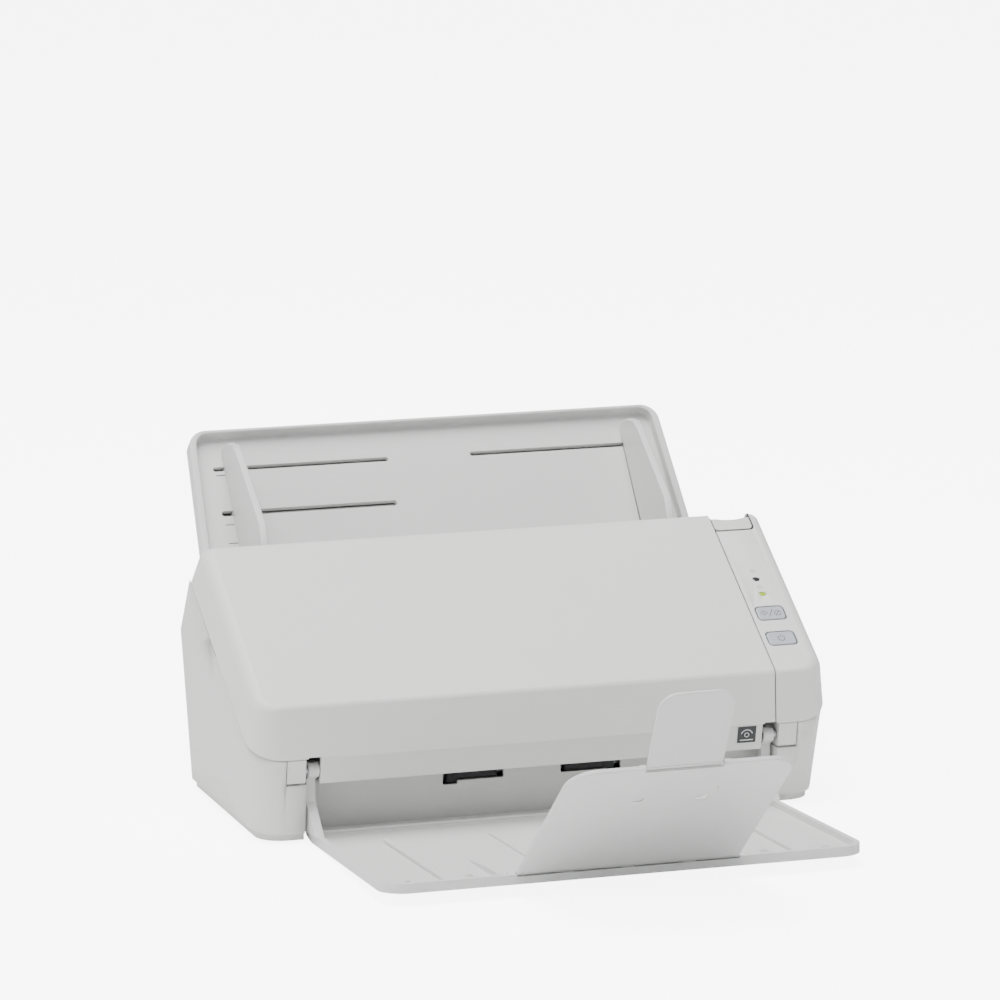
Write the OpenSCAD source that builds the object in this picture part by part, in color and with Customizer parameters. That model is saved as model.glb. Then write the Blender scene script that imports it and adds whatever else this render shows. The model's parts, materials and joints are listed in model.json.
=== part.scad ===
// Sheet fed document scanner: base, front-hinged cover, paper chute and fold-up stacker.
// X runs to the right, +Y to the rear, +Z up; the table is at z = 0.

/* [Body] */
// Half of the body's width at the belt line
half_w = 149; // [145:1:155]
// Front edge of the belt line, measured from the middle of the depth
front_y = -67.5; // [-70:0.5:-66]
// Rear edge of the body
rear_y = 67.4; // [66:0.2:70]
// Height of the belt line at the front
belt_z = 43; // [41:0.5:45]
// Slope of the belt line and of the top face, in degrees
tilt = 31.5; // [30:0.5:33]
// Thickness of the cover slab, square to the slope
slab_h = 21.8; // [20:0.2:24]
// Length of the slab along the slope
slab_len = 133; // [130:1:135]
// Wall thickness of the shells
wall = 2.2; // [1.8:0.1:2.6]
// Gap left between the cover and the base
seam = 0.6; // [0.4:0.1:0.8]
// Height of the rubber feet
foot_h = 1.5; // [1:0.1:2]

/* [Stacker] */
// Half of the stacker tray's width
tray_half_w = 120; // [118:0.5:120.5]
// Upward tilt of the open tray, in degrees
tray_tilt = 2.66; // [2:0.1:3.2]
// Height of the tray's rim
rim_h = 4.8; // [4:0.1:5]
// Length of the large extension plate
ext_len = 106.8; // [90:0.2:108]
// Half of the large extension plate's width
ext_half_w = 55; // [50:1:56]
// Angle of the opened extension plate above the horizontal, in degrees
ext_angle = 39.4; // [36:0.2:50]
// Length of the small extension plate
tip_len = 43; // [38:1:43]
// Half of the small extension plate's width
tip_half_w = 18.5; // [16:0.5:20]
// Bend between the small and the large extension plate, in degrees
tip_bend = 23.7; // [10:0.1:25]

/* [Chute] */
// Slope of the chute above the horizontal, in degrees
chute_angle = 51.5; // [48:0.5:55]
// Length of the chute plate
chute_len = 112; // [105:1:115]
// Half of the chute's width at its foot
chute_foot_half_w = 133; // [130:0.5:134]
// Half of the chute's width at its top
chute_top_half_w = 126.5; // [124:0.5:128]
// Distance from the middle to each side guide's inner face
guide_gap = 105.5; // [103:0.5:107]

/* [Rollers] */
// Radius of the feed rollers
feed_r = 7.5; // [7:0.1:8]
// Radius of the exit rollers
exit_r = 7; // [6.5:0.1:7.2]
// Radius of the pick roller
pick_r = 8; // [7.5:0.1:8.5]
// Radius of every steel roller shaft
shaft_r = 3; // [2.5:0.1:3.2]

/* [Hidden] */
$fn = 48;
eps = 0.01;
fit = 0.05;

shell_color = [0.86, 0.86, 0.84];
inner_color = [0.72, 0.72, 0.71];
frame_color = [0.25, 0.26, 0.27];
rubber_color = [0.12, 0.12, 0.12];
steel_color = [0.7, 0.71, 0.73];
gear_color = [0.93, 0.92, 0.88];
board_color = [0.1, 0.35, 0.2];
button_color = [0.78, 0.8, 0.83];

// Paper path: straight down the chute, one bend, then nearly level to the exit
chute_foot = [67.5, 78.5];
path_slope = 8;
path_exit = [-47, 28];
bend_centre = [4.6, 95.9];
bend_r = 60;
path_gap = 1.2;

// Hinge line shared by the cover's lugs and the stacker's arms
hinge_y = -61.5;
hinge_z = 36.4;
pin_r = 2;

// Inner width of the front opening and of its fittings
bay_half_w = 121.2;
arm_x0 = 115;
arm_x1 = 119.6;
lug_x0 = 121.6;
lug_x1 = 131;
strip_half_w = 113.8;
split_x = 119.7;
crease_half_w = 141.2;
wall_y = -45.6;
arm_slot_z = 43.7;
scan_s = 41;
power_s = 22.7;
lens_s = [66, 55.1];
latch_y = 122.7;
latch_z = 9;
latch_r = 2;
frame_x = 117;
frame_t = 2;

// Shaft centres, as [y, z]
feed_c = [9, 28.3];
exit_c = [-36.3, 22.43];
pick_c = [38.6, 37];
brake_c = [31.4, 49.3];
feed_idler_c = [7.2, 41.5];
exit_idler_c = [-38, 34.8];
feed_idler_r = 5.5;
exit_idler_r = 5;
brake_r = 6;

// Gears, module and tooth counts
gear_m = 0.8;
feed_teeth = 24;
exit_teeth = 22;
pick_teeth = 24;
exit_idler_teeth = 38;
pick_idler_teeth = 16;
motor_teeth = 12;
gear_x = -127;
gear_w = 5;

// Pitch radius of a gear with n teeth
function pitch_r(n) = gear_m * n / 2;
// Direction from point a to point b, in degrees
function heading(a, b) = atan2(b[1] - a[1], b[0] - a[0]);
// Point at distance ra from a and rb from b, on the side given by turn
function meet(a, ra, b, rb, turn) =
    let (d = norm(b - a), u = (b - a) / d, s = (ra * ra - rb * rb + d * d) / (2 * d))
    a + u * s + turn * sqrt(ra * ra - s * s) * [-u[1], u[0]];
// Phase of a gear that meshes with one whose tooth phase is known
function mesh_phase(from_c, from_n, from_phase, to_c, to_n) =
    let (dir = heading(from_c, to_c))
    dir + 180 + (dir - from_phase) * from_n / to_n + 180 / to_n;

latch_c = [front_y + latch_y * cos(tilt) - latch_z * sin(tilt),
           belt_z + latch_y * sin(tilt) + latch_z * cos(tilt)];
exit_idler_c2 = meet(feed_c, pitch_r(feed_teeth + exit_idler_teeth),
                     exit_c, pitch_r(exit_teeth + exit_idler_teeth), -1);
pick_idler_c = meet(feed_c, pitch_r(feed_teeth + pick_idler_teeth),
                    pick_c, pitch_r(pick_teeth + pick_idler_teeth), 1);
motor_reach = pitch_r(motor_teeth + exit_idler_teeth);
motor_c = exit_idler_c2 + motor_reach * [cos(75), sin(75)];
feed_phase = 0;
exit_idler_phase = mesh_phase(feed_c, feed_teeth, feed_phase, exit_idler_c2, exit_idler_teeth);
exit_phase = mesh_phase(exit_idler_c2, exit_idler_teeth, exit_idler_phase, exit_c, exit_teeth);
motor_phase = mesh_phase(exit_idler_c2, exit_idler_teeth, exit_idler_phase, motor_c, motor_teeth);
pick_idler_phase = mesh_phase(feed_c, feed_teeth, feed_phase, pick_idler_c, pick_idler_teeth);
pick_phase = mesh_phase(pick_idler_c, pick_idler_teeth, pick_idler_phase, pick_c, pick_teeth);

// Stacker: tray frame starts at the tray's rear bottom edge line
tray_rear_y = -50.5;
tray_ref_y = -66;
tray_ref_z = 0.5;
floor_t = 1.8;
ext_axis_v = 189 - 66;
ext_axis_h = 3.7;
ext_t = 2.4;
barrel_r = 1.5;
ext_bore_r = 0.87;
ext_pin_r = 0.8;
tip_t = 1.5;
tip_axis_u = ext_len - 1.2;
tip_axis_w = 0.6;
tip_pin_r = 0.6;
tip_barrel_r = 1.05;
recess_clear = 1;

// Chute details
chute_t = 3;
chute_rim_h = 6;
chute_rim_w = 4;
rack_t0 = 54;
rack_m = 1;
pinion_teeth = 16;
pinion_r = rack_m * pinion_teeth / 2;
rack_h0 = -6.6;
rack_h1 = -3.6;
upper_slot_t = 92;
guide_t = 3.6;
slot_w = 2.4;
pull_t = chute_len + 4;
pull_h = -10.3;
crease_s = 14.7;

// Ends of the whole open machine along Y, and the shift that puts the origin under its middle
rear_end = chute_foot[0] + pull_t * cos(chute_angle) - pull_h * sin(chute_angle);
ext_axis_y = tray_ref_y - ext_axis_v * cos(tray_tilt) + ext_axis_h * sin(tray_tilt);
tip_angle = ext_angle + tip_bend;
front_end = ext_axis_y - tip_axis_u * cos(ext_angle) + tip_axis_w * sin(ext_angle)
    - tip_len * cos(tip_angle) - tip_t / 2 * sin(tip_angle);
frame_y = -(rear_end + front_end) / 2;

// ---------- frames ----------

// Moves the body's own frame so that the origin lies under the whole open machine
module placed() { translate([0, frame_y, 0]) children(); }
// Frame of the cover slab: Y up the slope, Z square to it
module slab() { translate([0, front_y, belt_z]) rotate([tilt, 0, 0]) children(); }
// Frame of the chute: Y up the chute, Z towards the paper
module on_chute() { translate([0, chute_foot[0], chute_foot[1]]) rotate([chute_angle, 0, 0]) children(); }
// Frame of the level part of the paper path: Y to the rear, Z square to the path
module on_path() { translate([0, path_exit[0], path_exit[1]]) rotate([path_slope, 0, 0]) children(); }
// Frame of the stacker tray: Y towards the tray's front edge, Z square to its floor
module on_tray() { translate([0, tray_ref_y, tray_ref_z]) rotate([-tray_tilt, 0, 0]) children(); }
// Frame of the large extension plate: Y along the plate, Z out of its paper side
module on_extension() {
    on_tray() translate([0, -ext_axis_v, ext_axis_h]) rotate([tray_tilt + 180 - ext_angle, 0, 0])
        mirror([0, 0, 1]) children();
}
// Frame of the small extension plate: Y along the plate, Z out of its paper side
module on_tip() {
    on_extension() translate([0, tip_axis_u, tip_axis_w]) rotate([tip_bend, 0, 0]) children();
}

// Cylinder along X from x0 to x1 about a [y, z] centre
module rod(c, r, x0, x1) {
    translate([x0, c[0], c[1]]) rotate([0, 90, 0]) cylinder(r = r, h = x1 - x0);
}
// Outline in the YZ plane, extruded from x0 to x1
module slice(x0, x1, pts) {
    translate([x0, 0, 0]) rotate([90, 0, 90]) linear_extrude(x1 - x0) polygon(pts);
}
// Box given by its lowest and highest corners
module block(lo, hi) { translate(lo) cube(hi - lo); }
// The same child on the left and on the right
module both_sides() {
    children();
    mirror([1, 0, 0]) children();
}

// Flat sheet with rounded front corners, y from y0 to y1
module sheet(hw, y0, y1, r_front, r_rear, t) {
    linear_extrude(t) hull() both_sides() {
        translate([hw - r_front, y0 + r_front]) circle(r_front, $fn = 32);
        translate([hw - r_rear, y1 - r_rear]) circle(r_rear, $fn = 32);
    }
}

// Spur gear of n teeth with straight flanks, along X
module gear(c, n, phase, x0, w, bore) {
    r = pitch_r(n);
    half_tip = 0.3 * gear_m;
    half_root = 0.95 * gear_m;
    translate([x0, c[0], c[1]]) rotate([90, 0, 90]) linear_extrude(w) difference() {
        union() {
            circle(r - 1.1 * gear_m);
            for (i = [0 : n - 1]) rotate(phase + i * 360 / n)
                polygon([[r - 1.3 * gear_m, -half_root], [r + 0.85 * gear_m, -half_tip],
                         [r + 0.85 * gear_m, half_tip], [r - 1.3 * gear_m, half_root]]);
        }
        circle(bore);
    }
}

// ---------- base ----------

// Outer form of the base, drawn in by d all round
module base_form(d, below, above) {
    hull() {
        translate([0, 0, foot_h - below])
            sheet(144 - d, -61.6 + d, rear_y - d, 15, 6, eps);
        slab() translate([0, 0, above]) sheet(half_w - d, d, slab_len - d, 17, 4, eps);
        block([-half_w + 0.6 + d, rear_y - 4, 74], [half_w - 0.6 - d, rear_y - d, 77.6 - d * 0.4]);
    }
}

module base_shell() placed() color(shell_color) {
    difference() {
        union() {
            difference() {
                base_form(0, 0, -seam);
                base_form(wall, 1, 6);
                // Front bay between the columns
                block([-bay_half_w, -80, -1], [bay_half_w, -40, 80]);
                // Inlet in the sloping rear face, above the chute's underside
                on_chute() block([-half_w + 12, -14, -chute_t - 0.3], [half_w - 12, 60, 60]);
                // Wells of the cover's lugs
                both_sides() block([lug_x0 - 1, -80, 29.7], [lug_x1 + 0.5, -48, 80]);
            }
            // Inner cheeks of the columns
            both_sides() difference() {
                slice(bay_half_w, bay_half_w + 1.8,
                      [[-63.6, foot_h], [-65.6, 29.5], [-50, 29.5], [-47.5, 36], [-47.5, foot_h]]);
            }
            // Bosses that hold the hinge pins
            both_sides() rod([hinge_y, hinge_z], 5, lug_x1 + 0.5, lug_x1 + 5);
        }
        both_sides() rod([hinge_y, hinge_z], pin_r, lug_x1 - 2, lug_x1 + 4);
        // Sockets in the rear wall and the lock slot in the right side
        block([96, 60, 12], [106, 80, 22]);
        block([74, 60, 12], [87, 80, 24]);
        block([130, 50, 14], [160, 53.2, 21]);
        // Foot of the rear wall lets the bottom plate in
        block([-half_w, -44, 0], [half_w, -40, foot_h + 0.1]);
    }
}

module bottom_plate() placed() color(inner_color) difference() {
    translate([0, 0, foot_h]) sheet(141.2, -43.8, rear_y - wall - 0.4, 3, 5, 2);
    foot_places() cylinder(r = 6.2, h = 1, center = true);
    screw_places() cylinder(r = 1.6, h = 10);
}
// The four places of the feet on the underside
module foot_places() {
    for (x = [-126, 126], y = [-34, 54]) translate([x, y, foot_h]) children();
}
// The places of the bottom screws
module screw_places() {
    for (x = [-112, 0, 112], y = [-30, 50]) translate([x, y, foot_h - 1]) children();
}
module rubber_feet() placed() color(rubber_color)
    foot_places() translate([0, 0, -foot_h]) cylinder(r = 6, h = foot_h + 0.4);
module base_screws() placed() color(steel_color) screw_places() {
    translate([0, 0, 0.3]) cylinder(r = 2.6, h = 0.7);
    cylinder(r = 1.6, h = 4);
}

// Front wall of the base, with the two roller windows at its top
module exit_wall() placed() color(shell_color) difference() {
    slice(-bay_half_w, bay_half_w,
          [[wall_y, foot_h], [wall_y, 25.4], [wall_y + 2, 27], [wall_y + 4, 27.2],
           [wall_y + 4, 25.4], [wall_y + 1.8, 24.6], [wall_y + 1.8, foot_h]]);
    both_sides() {
        block([14.8, -60, 21.3], [46, -34, 40]);
        block([38.5, -60, 19.6], [46, -34, 40]);
        rod(exit_c, exit_r + 0.4, 14.8, 46);
    }
}

// Points of the path, moved off it by d towards the upper side, from the inlet to y_end
function path_points(d, y_end) = concat(
    [for (a = [-38.5 : -7.25 : -82]) bend_centre + (bend_r - d) * [cos(a), sin(a)]],
    [[y_end - d * sin(path_slope), path_exit[1] + tan(path_slope) * (y_end - path_exit[0]) + d * cos(path_slope)]]);
function reversed(v) = [for (i = [len(v) - 1 : -1 : 0]) v[i]];

module lower_guide() placed() color(inner_color) difference() {
    slice(-frame_x + 0.4, frame_x - 0.4,
          concat([[63.2, 71.2]], path_points(-path_gap, -40.6), reversed(path_points(-path_gap - 2, -40.6)),
                 [[64.7, 69.9]]));
    // Openings for the rollers and for the sensor
    for (x = [-32, 32]) {
        block([x - 18, exit_c[0] - 9, 10], [x + 18, exit_c[0] + 9, 60]);
        block([x - 18, feed_c[0] - 10, 10], [x + 18, feed_c[0] + 10, 60]);
    }
    block([-24, pick_c[0] - 14, 20], [24, pick_c[0] + 12, 70]);
    on_path() block([-112, 23.5, -20], [112, 42.5, 10]);
}

// Side frame that carries the shafts' bushes
module side_frame(side) {
    mirror([side < 0 ? 1 : 0, 0, 0]) difference() {
        slice(frame_x, frame_x + frame_t,
              [[-41, 4], [-41, 27], [-30, 33], [10, 50], [40, 60], [60, 68], [60, 4]]);
        for (c = [feed_c, exit_c, pick_c]) rod(c, shaft_r + 1.5, frame_x - 1, frame_x + 4);
    }
}
module left_side_frame() placed() color(frame_color) {
    difference() {
        side_frame(-1);
        rod(motor_c, 5.6, -125, -115);
    }
    for (c = [exit_idler_c2, pick_idler_c]) rod(c, 2, gear_x - 1, -frame_x);
    // Posts that hold the motor
    for (a = [15, 135]) rod(motor_c + 12 * [cos(a), sin(a)], 2, gear_x - 2, -frame_x - 1);
}
module right_side_frame() placed() color(frame_color) side_frame(1);

module shaft_bushes() placed() color(gear_color)
    both_sides() for (c = [feed_c, exit_c, pick_c]) difference() {
        rod(c, shaft_r + 1.5, frame_x, frame_x + frame_t);
        rod(c, shaft_r + fit, frame_x - 1, frame_x + frame_t + 1);
    }

// Contact image sensor bar below the path and its glass
module lower_sensor() placed() color(frame_color)
    on_path() block([-111, 24.5, -14], [111, 41.5, -2.4]);
module lower_glass() placed() color([0.6, 0.75, 0.72, 0.5])
    on_path() block([-111, 24.5, -2.4], [111, 41.5, -path_gap]);

module main_board() placed() color(board_color) {
    block([-90, -25, 6], [108, 58, 7.6]);
    // Chips and connectors
    block([-30, 10, 7.6], [-12, 28, 9.4]);
    block([20, -10, 7.6], [34, 4, 9.2]);
    block([-70, -15, 7.6], [-50, -9, 12]);
    block([60, 40, 7.6], [72, 56, 11]);
    // Spacers down to the bottom plate
    for (x = [-80, 98], y = [-20, 52]) translate([x, y, foot_h + 2]) cylinder(r = 3, h = 2.5);
}
module motor_body() placed() color(steel_color) {
    difference() {
        rod(motor_c, 12, gear_x - 14, gear_x - 2);
        rod(motor_c, 1.6, gear_x - 10, gear_x);
    }
}
module hinge_pins() placed() color(steel_color)
    both_sides() rod([hinge_y, hinge_z], pin_r, arm_x0 - 0.4, lug_x1 + 4);

module power_jack() placed() color(rubber_color) difference() {
    block([96.2, 52, 12.2], [105.8, rear_y - 0.5, 21.8]);
    translate([101, 57, 17]) rotate([-90, 0, 0]) cylinder(r = 3.2, h = 20);
}
module usb_socket() placed() color(steel_color) difference() {
    block([74.2, 52, 12.2], [86.8, rear_y - 0.5, 23.8]);
    block([75, 55, 13], [86, 80, 23]);
}

// ---------- chute ----------

// Flat form of the chute between two heights above its surface
module chute_form(d, t0, t1, h0, h1) {
    translate([0, 0, h0]) linear_extrude(h1 - h0) polygon([
        [-chute_foot_half_w + d, t0], [chute_foot_half_w - d, t0],
        [chute_top_half_w - d, t1 - 8], [chute_top_half_w - 7 - d * 0.6, t1],
        [-chute_top_half_w + 7 + d * 0.6, t1], [-chute_top_half_w + d, t1 - 8]]);
}
module chute_plate() placed() color(shell_color) on_chute() {
    difference() {
        chute_form(0, 3, chute_len, -chute_t, chute_rim_h);
        chute_form(chute_rim_w, -1, chute_len - 2, 0, chute_rim_h + 1);
        // Slots that the side guides slide in
        both_sides() block([22, upper_slot_t - slot_w / 2, -5], [115, upper_slot_t + slot_w / 2, 1]);
        block([-115, 65, -5], [-22, 68, 1]);
        block([22, 40, -5], [115, 43, 1]);
    }
    // Tongue that seats the chute in the inlet
    block([-113, -8, -chute_t], [113, 3, 0]);
    // Boss of the guides' pinion
    translate([0, rack_t0, -7.4]) cylinder(r = 2, h = 4.4 + eps);
}
module chute_back() placed() color(shell_color) on_chute() difference() {
    chute_form(3, 4, chute_len - 4, -13, -chute_t);
    chute_form(5.5, 6, chute_len - 6, -11, -chute_t + 1);
    // Mouth that the chute extension slides out of
    block([-46, chute_len - 10, -10.6], [46, chute_len + 5, -7.6]);
}

// Side guide: foot in the slots, upright fin and its rack behind the plate
module side_guide(rack_pitch_t, rack_side) {
    // Fin along the paper's edge
    translate([-guide_gap - guide_t, 0, 0]) rotate([90, 0, 90]) linear_extrude(guide_t)
        polygon([[14, 0.3], [14, 20], [26, 38], [38.5, 41], [52, 37], [88, 25.5], [94, 22],
                 [99.5, 14], [102.5, 5], [102.5, 0.3]]);
    // Links through the slots
    slot_t = rack_side > 0 ? 66.5 : 41.5;
    block([-guide_gap - guide_t, slot_t - 1.1, rack_h1 - 0.5], [-guide_gap - 0.4, slot_t + 1.1, 1]);
    block([-guide_gap - guide_t, upper_slot_t - 0.8, -4.4], [-guide_gap - 0.4, upper_slot_t + 0.8, 1]);
    // Rack
    body_t0 = rack_pitch_t + rack_side * 1.3;
    body_t1 = rack_pitch_t + rack_side * 5.6;
    block([-guide_gap - guide_t, min(body_t0, body_t1), rack_h0], [9, max(body_t0, body_t1), rack_h1]);
    pitch = PI * rack_m;
    for (i = [-24 : 2]) translate([i * pitch, rack_pitch_t, rack_h0]) linear_extrude(rack_h1 - rack_h0)
        polygon([[-1.1, rack_side * 1.4], [-0.3, -rack_side * 0.8],
                 [0.3, -rack_side * 0.8], [1.1, rack_side * 1.4]]);
}
module left_guide() placed() color(shell_color) on_chute() side_guide(rack_t0 + pinion_r, 1);
module right_guide() placed() color(shell_color) on_chute()
    mirror([1, 0, 0]) side_guide(rack_t0 - pinion_r, -1);
module guide_pinion() placed() color(gear_color) on_chute() translate([0, rack_t0, rack_h0])
    linear_extrude(rack_h1 - rack_h0 - 0.3) difference() {
        union() {
            circle(pinion_r - 1.2);
            // A gap faces each rack's tooth at rest
            for (i = [0 : pinion_teeth - 1]) rotate(90 + (i + 0.5) * 360 / pinion_teeth)
                polygon([[pinion_r - 1.4, -1.05], [pinion_r + 0.75, -0.3],
                         [pinion_r + 0.75, 0.3], [pinion_r - 1.4, 1.05]]);
        }
        circle(2 + fit);
    }
module chute_extension() placed() color(shell_color) on_chute() {
    block([-45, 14, pull_h], [45, chute_len + 1, -8]);
    // Pull at the top edge
    block([-16, chute_len - 3.5, pull_h], [16, pull_t, -6]);
}

// ---------- cover ----------

// Outer form of the cover slab, drawn in by d, with its rounded side edges
module cover_form(d, low) {
    r = 6;
    lean = crease_s / slab_h;
    hull() {
        slab() translate([0, 0, low]) sheet(half_w - d, d, slab_len - d, 17, 4, eps);
        for (a = [0, 30, 60, 90]) let (z = slab_h - d - r * (1 - sin(a)))
            slab() translate([0, 0, z - eps])
                sheet(crease_half_w + r - d - (r - r * cos(a)) - 0.2, max(z, 0) * lean + d,
                      slab_len - d - r * (1 - cos(a)), 14, 4, eps);
    }
}
module cover_shell_form() {
    difference() {
        cover_form(0, 0);
        cover_form(wall, -2);
    }
}
module top_cover() placed() color(shell_color) difference() {
    union() {
        intersection() {
            cover_shell_form();
            block([-160, -90, 0], [split_x - 0.3, 90, 160]);
        }
        // Inclined strip above the paper exit
        slice(-strip_half_w, strip_half_w - 0.3,
              [[-66.8, 46.5], [-66.6, 44.8], [-63.5, 29.5], [-61.6, 29.5], [-62.6, 36], [-64.4, 46.5]]);
        // Inner rib at the split
        intersection() {
            cover_form(0.5, 0);
            block([split_x - 2.2, -90, 0], [split_x - 0.3, 60, 160]);
        }
    }
    // Slots above the stacker's arms
    both_sides() block([strip_half_w, -90, 30], [lug_x0 - 1.2, -55, arm_slot_z]);
    // Passage of the release bar through the inner rib
    rod(latch_c, latch_r + 0.4, split_x - 8, split_x + 4);
}
module panel_cover() placed() color(shell_color) difference() {
    intersection() {
        cover_shell_form();
        block([split_x + 0.3, -90, 0], [160, 90, 160]);
    }
    block([split_x - 1, -90, 30], [lug_x0 - 1.2, -55, arm_slot_z]);
    slab() {
        // Button openings, light openings and the notch of the release tab
        for (s = [scan_s, power_s]) on_panel(s) block([-7.5, -5.1, -4], [7.5, 5.1, 4]);
        for (s = lens_s) on_panel(s) block([-1.6, -1.2, -4], [1.6, 1.2, 4]);
        block([split_x - 1, slab_len - 15.6, slab_h - 6], [140.3, slab_len + 1, slab_h + 1]);
    }
}
// Place on the panel at distance s up the slope from the crease
module on_panel(s) { translate([130, s + crease_s, slab_h]) children(); }
// Button with its flange and the stem that meets the switch
module button(s) {
    slab() on_panel(s) {
        block([-7.1, -4.7, -3], [7.1, 4.7, 0.3]);
        block([-8.4, -6, -4.2], [8.4, 6, -2.9]);
        block([-3, -2, -7], [3, 2, -4.1]);
    }
}
module scan_button() placed() color(button_color) button(scan_s);
module power_button() placed() color(button_color) button(power_s);
module status_lenses() placed() color([0.6, 0.8, 0.3]) slab()
    for (s = lens_s) on_panel(s) block([-1.6, -1.2, -3], [1.6, 1.2, 0]);

// Knuckles of the cover on the hinge pins
module hinge_lugs() placed() color(shell_color) both_sides() difference() {
    slice(lug_x0, lug_x1,
          [[-67.3, 42.4], [-65.4, 31.4], [-64.6, 30.6], [-58, 30.6], [-56, 33], [-55, 50.6], [-65.2, 44.6]]);
    rod([hinge_y, hinge_z], pin_r + fit, lug_x0 - 1, lug_x1 + 1);
}

module upper_guide() placed() color(inner_color) difference() {
    slice(-frame_x + 3.7, frame_x - 3.7,
          concat([[47.6, 74]], path_points(path_gap, -40), reversed(path_points(path_gap + 2.2, -40)),
                 [[45.4, 74]]));
    for (x = [-32, 32]) {
        block([x - 15, exit_idler_c[0] - 7, 20], [x + 15, exit_idler_c[0] + 7, 60]);
        block([x - 15, feed_idler_c[0] - 7.5, 20], [x + 15, feed_idler_c[0] + 7.5, 60]);
    }
    block([-14, brake_c[0] - 8, 30], [14, brake_c[0] + 12, 70]);
    on_path() block([-112, 25.5, -20], [112, 44.5, 14]);
}
module upper_sensor() placed() color(frame_color)
    on_path() block([-111, 26.5, 2.4], [111, 43.5, 14]);
module upper_glass() placed() color([0.6, 0.75, 0.72, 0.5])
    on_path() block([-111, 26.5, path_gap], [111, 43.5, 2.4]);

// Cheeks under the cover that carry the sensor, the guide and the small rollers
module cover_brackets() placed() color(frame_color) both_sides() difference() {
    slice(frame_x - 3.6, frame_x - 1,
          [[-44, 38], [-36, 32.5], [14, 39.4], [44, 60], [43, 98], [38.7, 112.8], [34.5, 121],
           [28.2, 124.6], [-57.3, 72.2], [-53, 46]]);
    rod(latch_c, 2 + fit, 100, 130);
    rod(exit_idler_c, 1.5 + fit, 100, 130);
    rod(feed_idler_c, 1.5 + fit, 100, 130);
    rod(brake_c, 1.5 + fit, 100, 130);
}

module strip_label() placed() color(rubber_color)
    slice(100, 110, [[-66.4, 42.8], [-64.53, 33.6], [-64.34, 33.6], [-66.21, 42.8]]);

// Release: a tab on the panel that turns the latch bar across the cover's rear
module open_tab() placed() color(shell_color) slab() difference() {
    union() {
        block([split_x + 0.6, latch_y - 4.6, slab_h - 3], [139.6, latch_y + 4.4, slab_h]);
        block([126, latch_y - 3, latch_z - 3], [132, latch_y + 3, slab_h - 3 + eps]);
    }
    rod([latch_y, latch_z], latch_r, 100, 160);
}
module latch_bar() placed() color(steel_color) slab() {
    rod([latch_y, latch_z], latch_r, -137, 137);
    // Hook plates at both ends
    both_sides() difference() {
        slice(133, 136, [[latch_y - 3.5, latch_z + 3], [latch_y + 3.5, latch_z + 3], [latch_y + 3.5, -9],
                         [latch_y + 6.5, -9], [latch_y + 6.5, -11.6], [latch_y - 0.5, -12]]);
        rod([latch_y, latch_z], latch_r, 100, 160);
    }
}
// Catches on the base that the hooks snap behind
module latch_keepers() placed() color(steel_color) slab() both_sides()
    block([131, latch_y + 7, -12], [143, latch_y + 8, -4]);

// ---------- stacker ----------

module tray_outline(d) {
    hull() both_sides() {
        translate([tray_half_w - 2 - d, -tray_ref_y + tray_rear_y - 2]) circle(0.1);
        translate([tray_half_w - 13, -126.8 + 13]) circle(13 - d);
    }
}
module stacker_tray() placed() color(shell_color) on_tray() difference() {
    union() {
        difference() {
            linear_extrude(rim_h) tray_outline(0);
            translate([0, 0, floor_t]) linear_extrude(rim_h) tray_outline(3);
        }
        // The floor rises at the rear, so that it clears the table as the tray swings up
        slice(-tray_half_w + 4, tray_half_w - 4, [[5, 1], [5, floor_t], [8, 2.7], [12, 3.6], [15.4, 4.5], [15.4, 2]]);
        // Floor ribs
        for (x = [-87, 87]) block([x - 1, -119, floor_t], [x + 1, -18, floor_t + 1.6]);
        for (x = [-35, 35]) block([x - 0.6, -118, floor_t], [x + 0.6, -18, floor_t + 0.4]);
        for (x = [-104, -73, 73, 104])
            slice(x - 1, x + 1, [[-124, floor_t], [-124, floor_t + 2.2], [-108, floor_t]]);
        // Knuckles of the extension plate's hinge
        for (x = [-30, 0, 30]) slice(x - 2.5, x + 2.5, knuckle_outline());
        both_sides() slice(ext_half_w + 0.6, ext_half_w + 4, knuckle_outline());
    }
    slice(-130, 130, [[3, -1], [3, 0], [8, 0.95], [12, 1.8], [16, 3], [20, 3], [20, -1]]);
    // Room for the hinge barrels between the knuckles
    for (x = [[-ext_half_w - 0.5, -33], [-27, -3], [3, 27], [33, ext_half_w + 0.5]])
        block([x[0], -125.6, floor_t - 0.2], [x[1], -119, rim_h + 1]);
    block([-ext_half_w - 0.5, -130, 3.7], [ext_half_w + 0.5, -125, rim_h + 1]);
    rod([-ext_axis_v, ext_axis_h], ext_pin_r, -ext_half_w - 3, ext_half_w + 3);
}
function knuckle_outline() = [[-125.8, floor_t - 0.4], [-125.8, 3.7], [-124.4, 5.1], [-121.8, 5.1],
                              [-120.8, 3.6], [-120.8, floor_t - 0.4]];

module stacker_arms() placed() color(shell_color) both_sides() difference() {
    union() {
        slice(arm_x0, arm_x1, [[-64.6, 38], [-63, 39.8], [-59, 39.6], [-55.4, 36], [-54.6, 20],
                               [-53.6, 4.6], [-66, 1.6], [-78, 2.2], [-78, 4.4], [-74.5, 5.4],
                               [-59.3, 19.7], [-59.3, 31], [-64.6, 34]]);
        rod([hinge_y, hinge_z], 3.6, arm_x0 - 0.6, arm_x1);
    }
    rod([hinge_y, hinge_z], pin_r + fit, arm_x0 - 2, arm_x1 + 2);
    // Seat on the tray's floor and rim
    on_tray() block([110, -40, -3], [130, 20, rim_h]);
}
module extension_pin() placed() color(steel_color) on_tray()
    rod([-ext_axis_v, ext_axis_h], ext_pin_r, -ext_half_w - 3, ext_half_w + 3);

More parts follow.
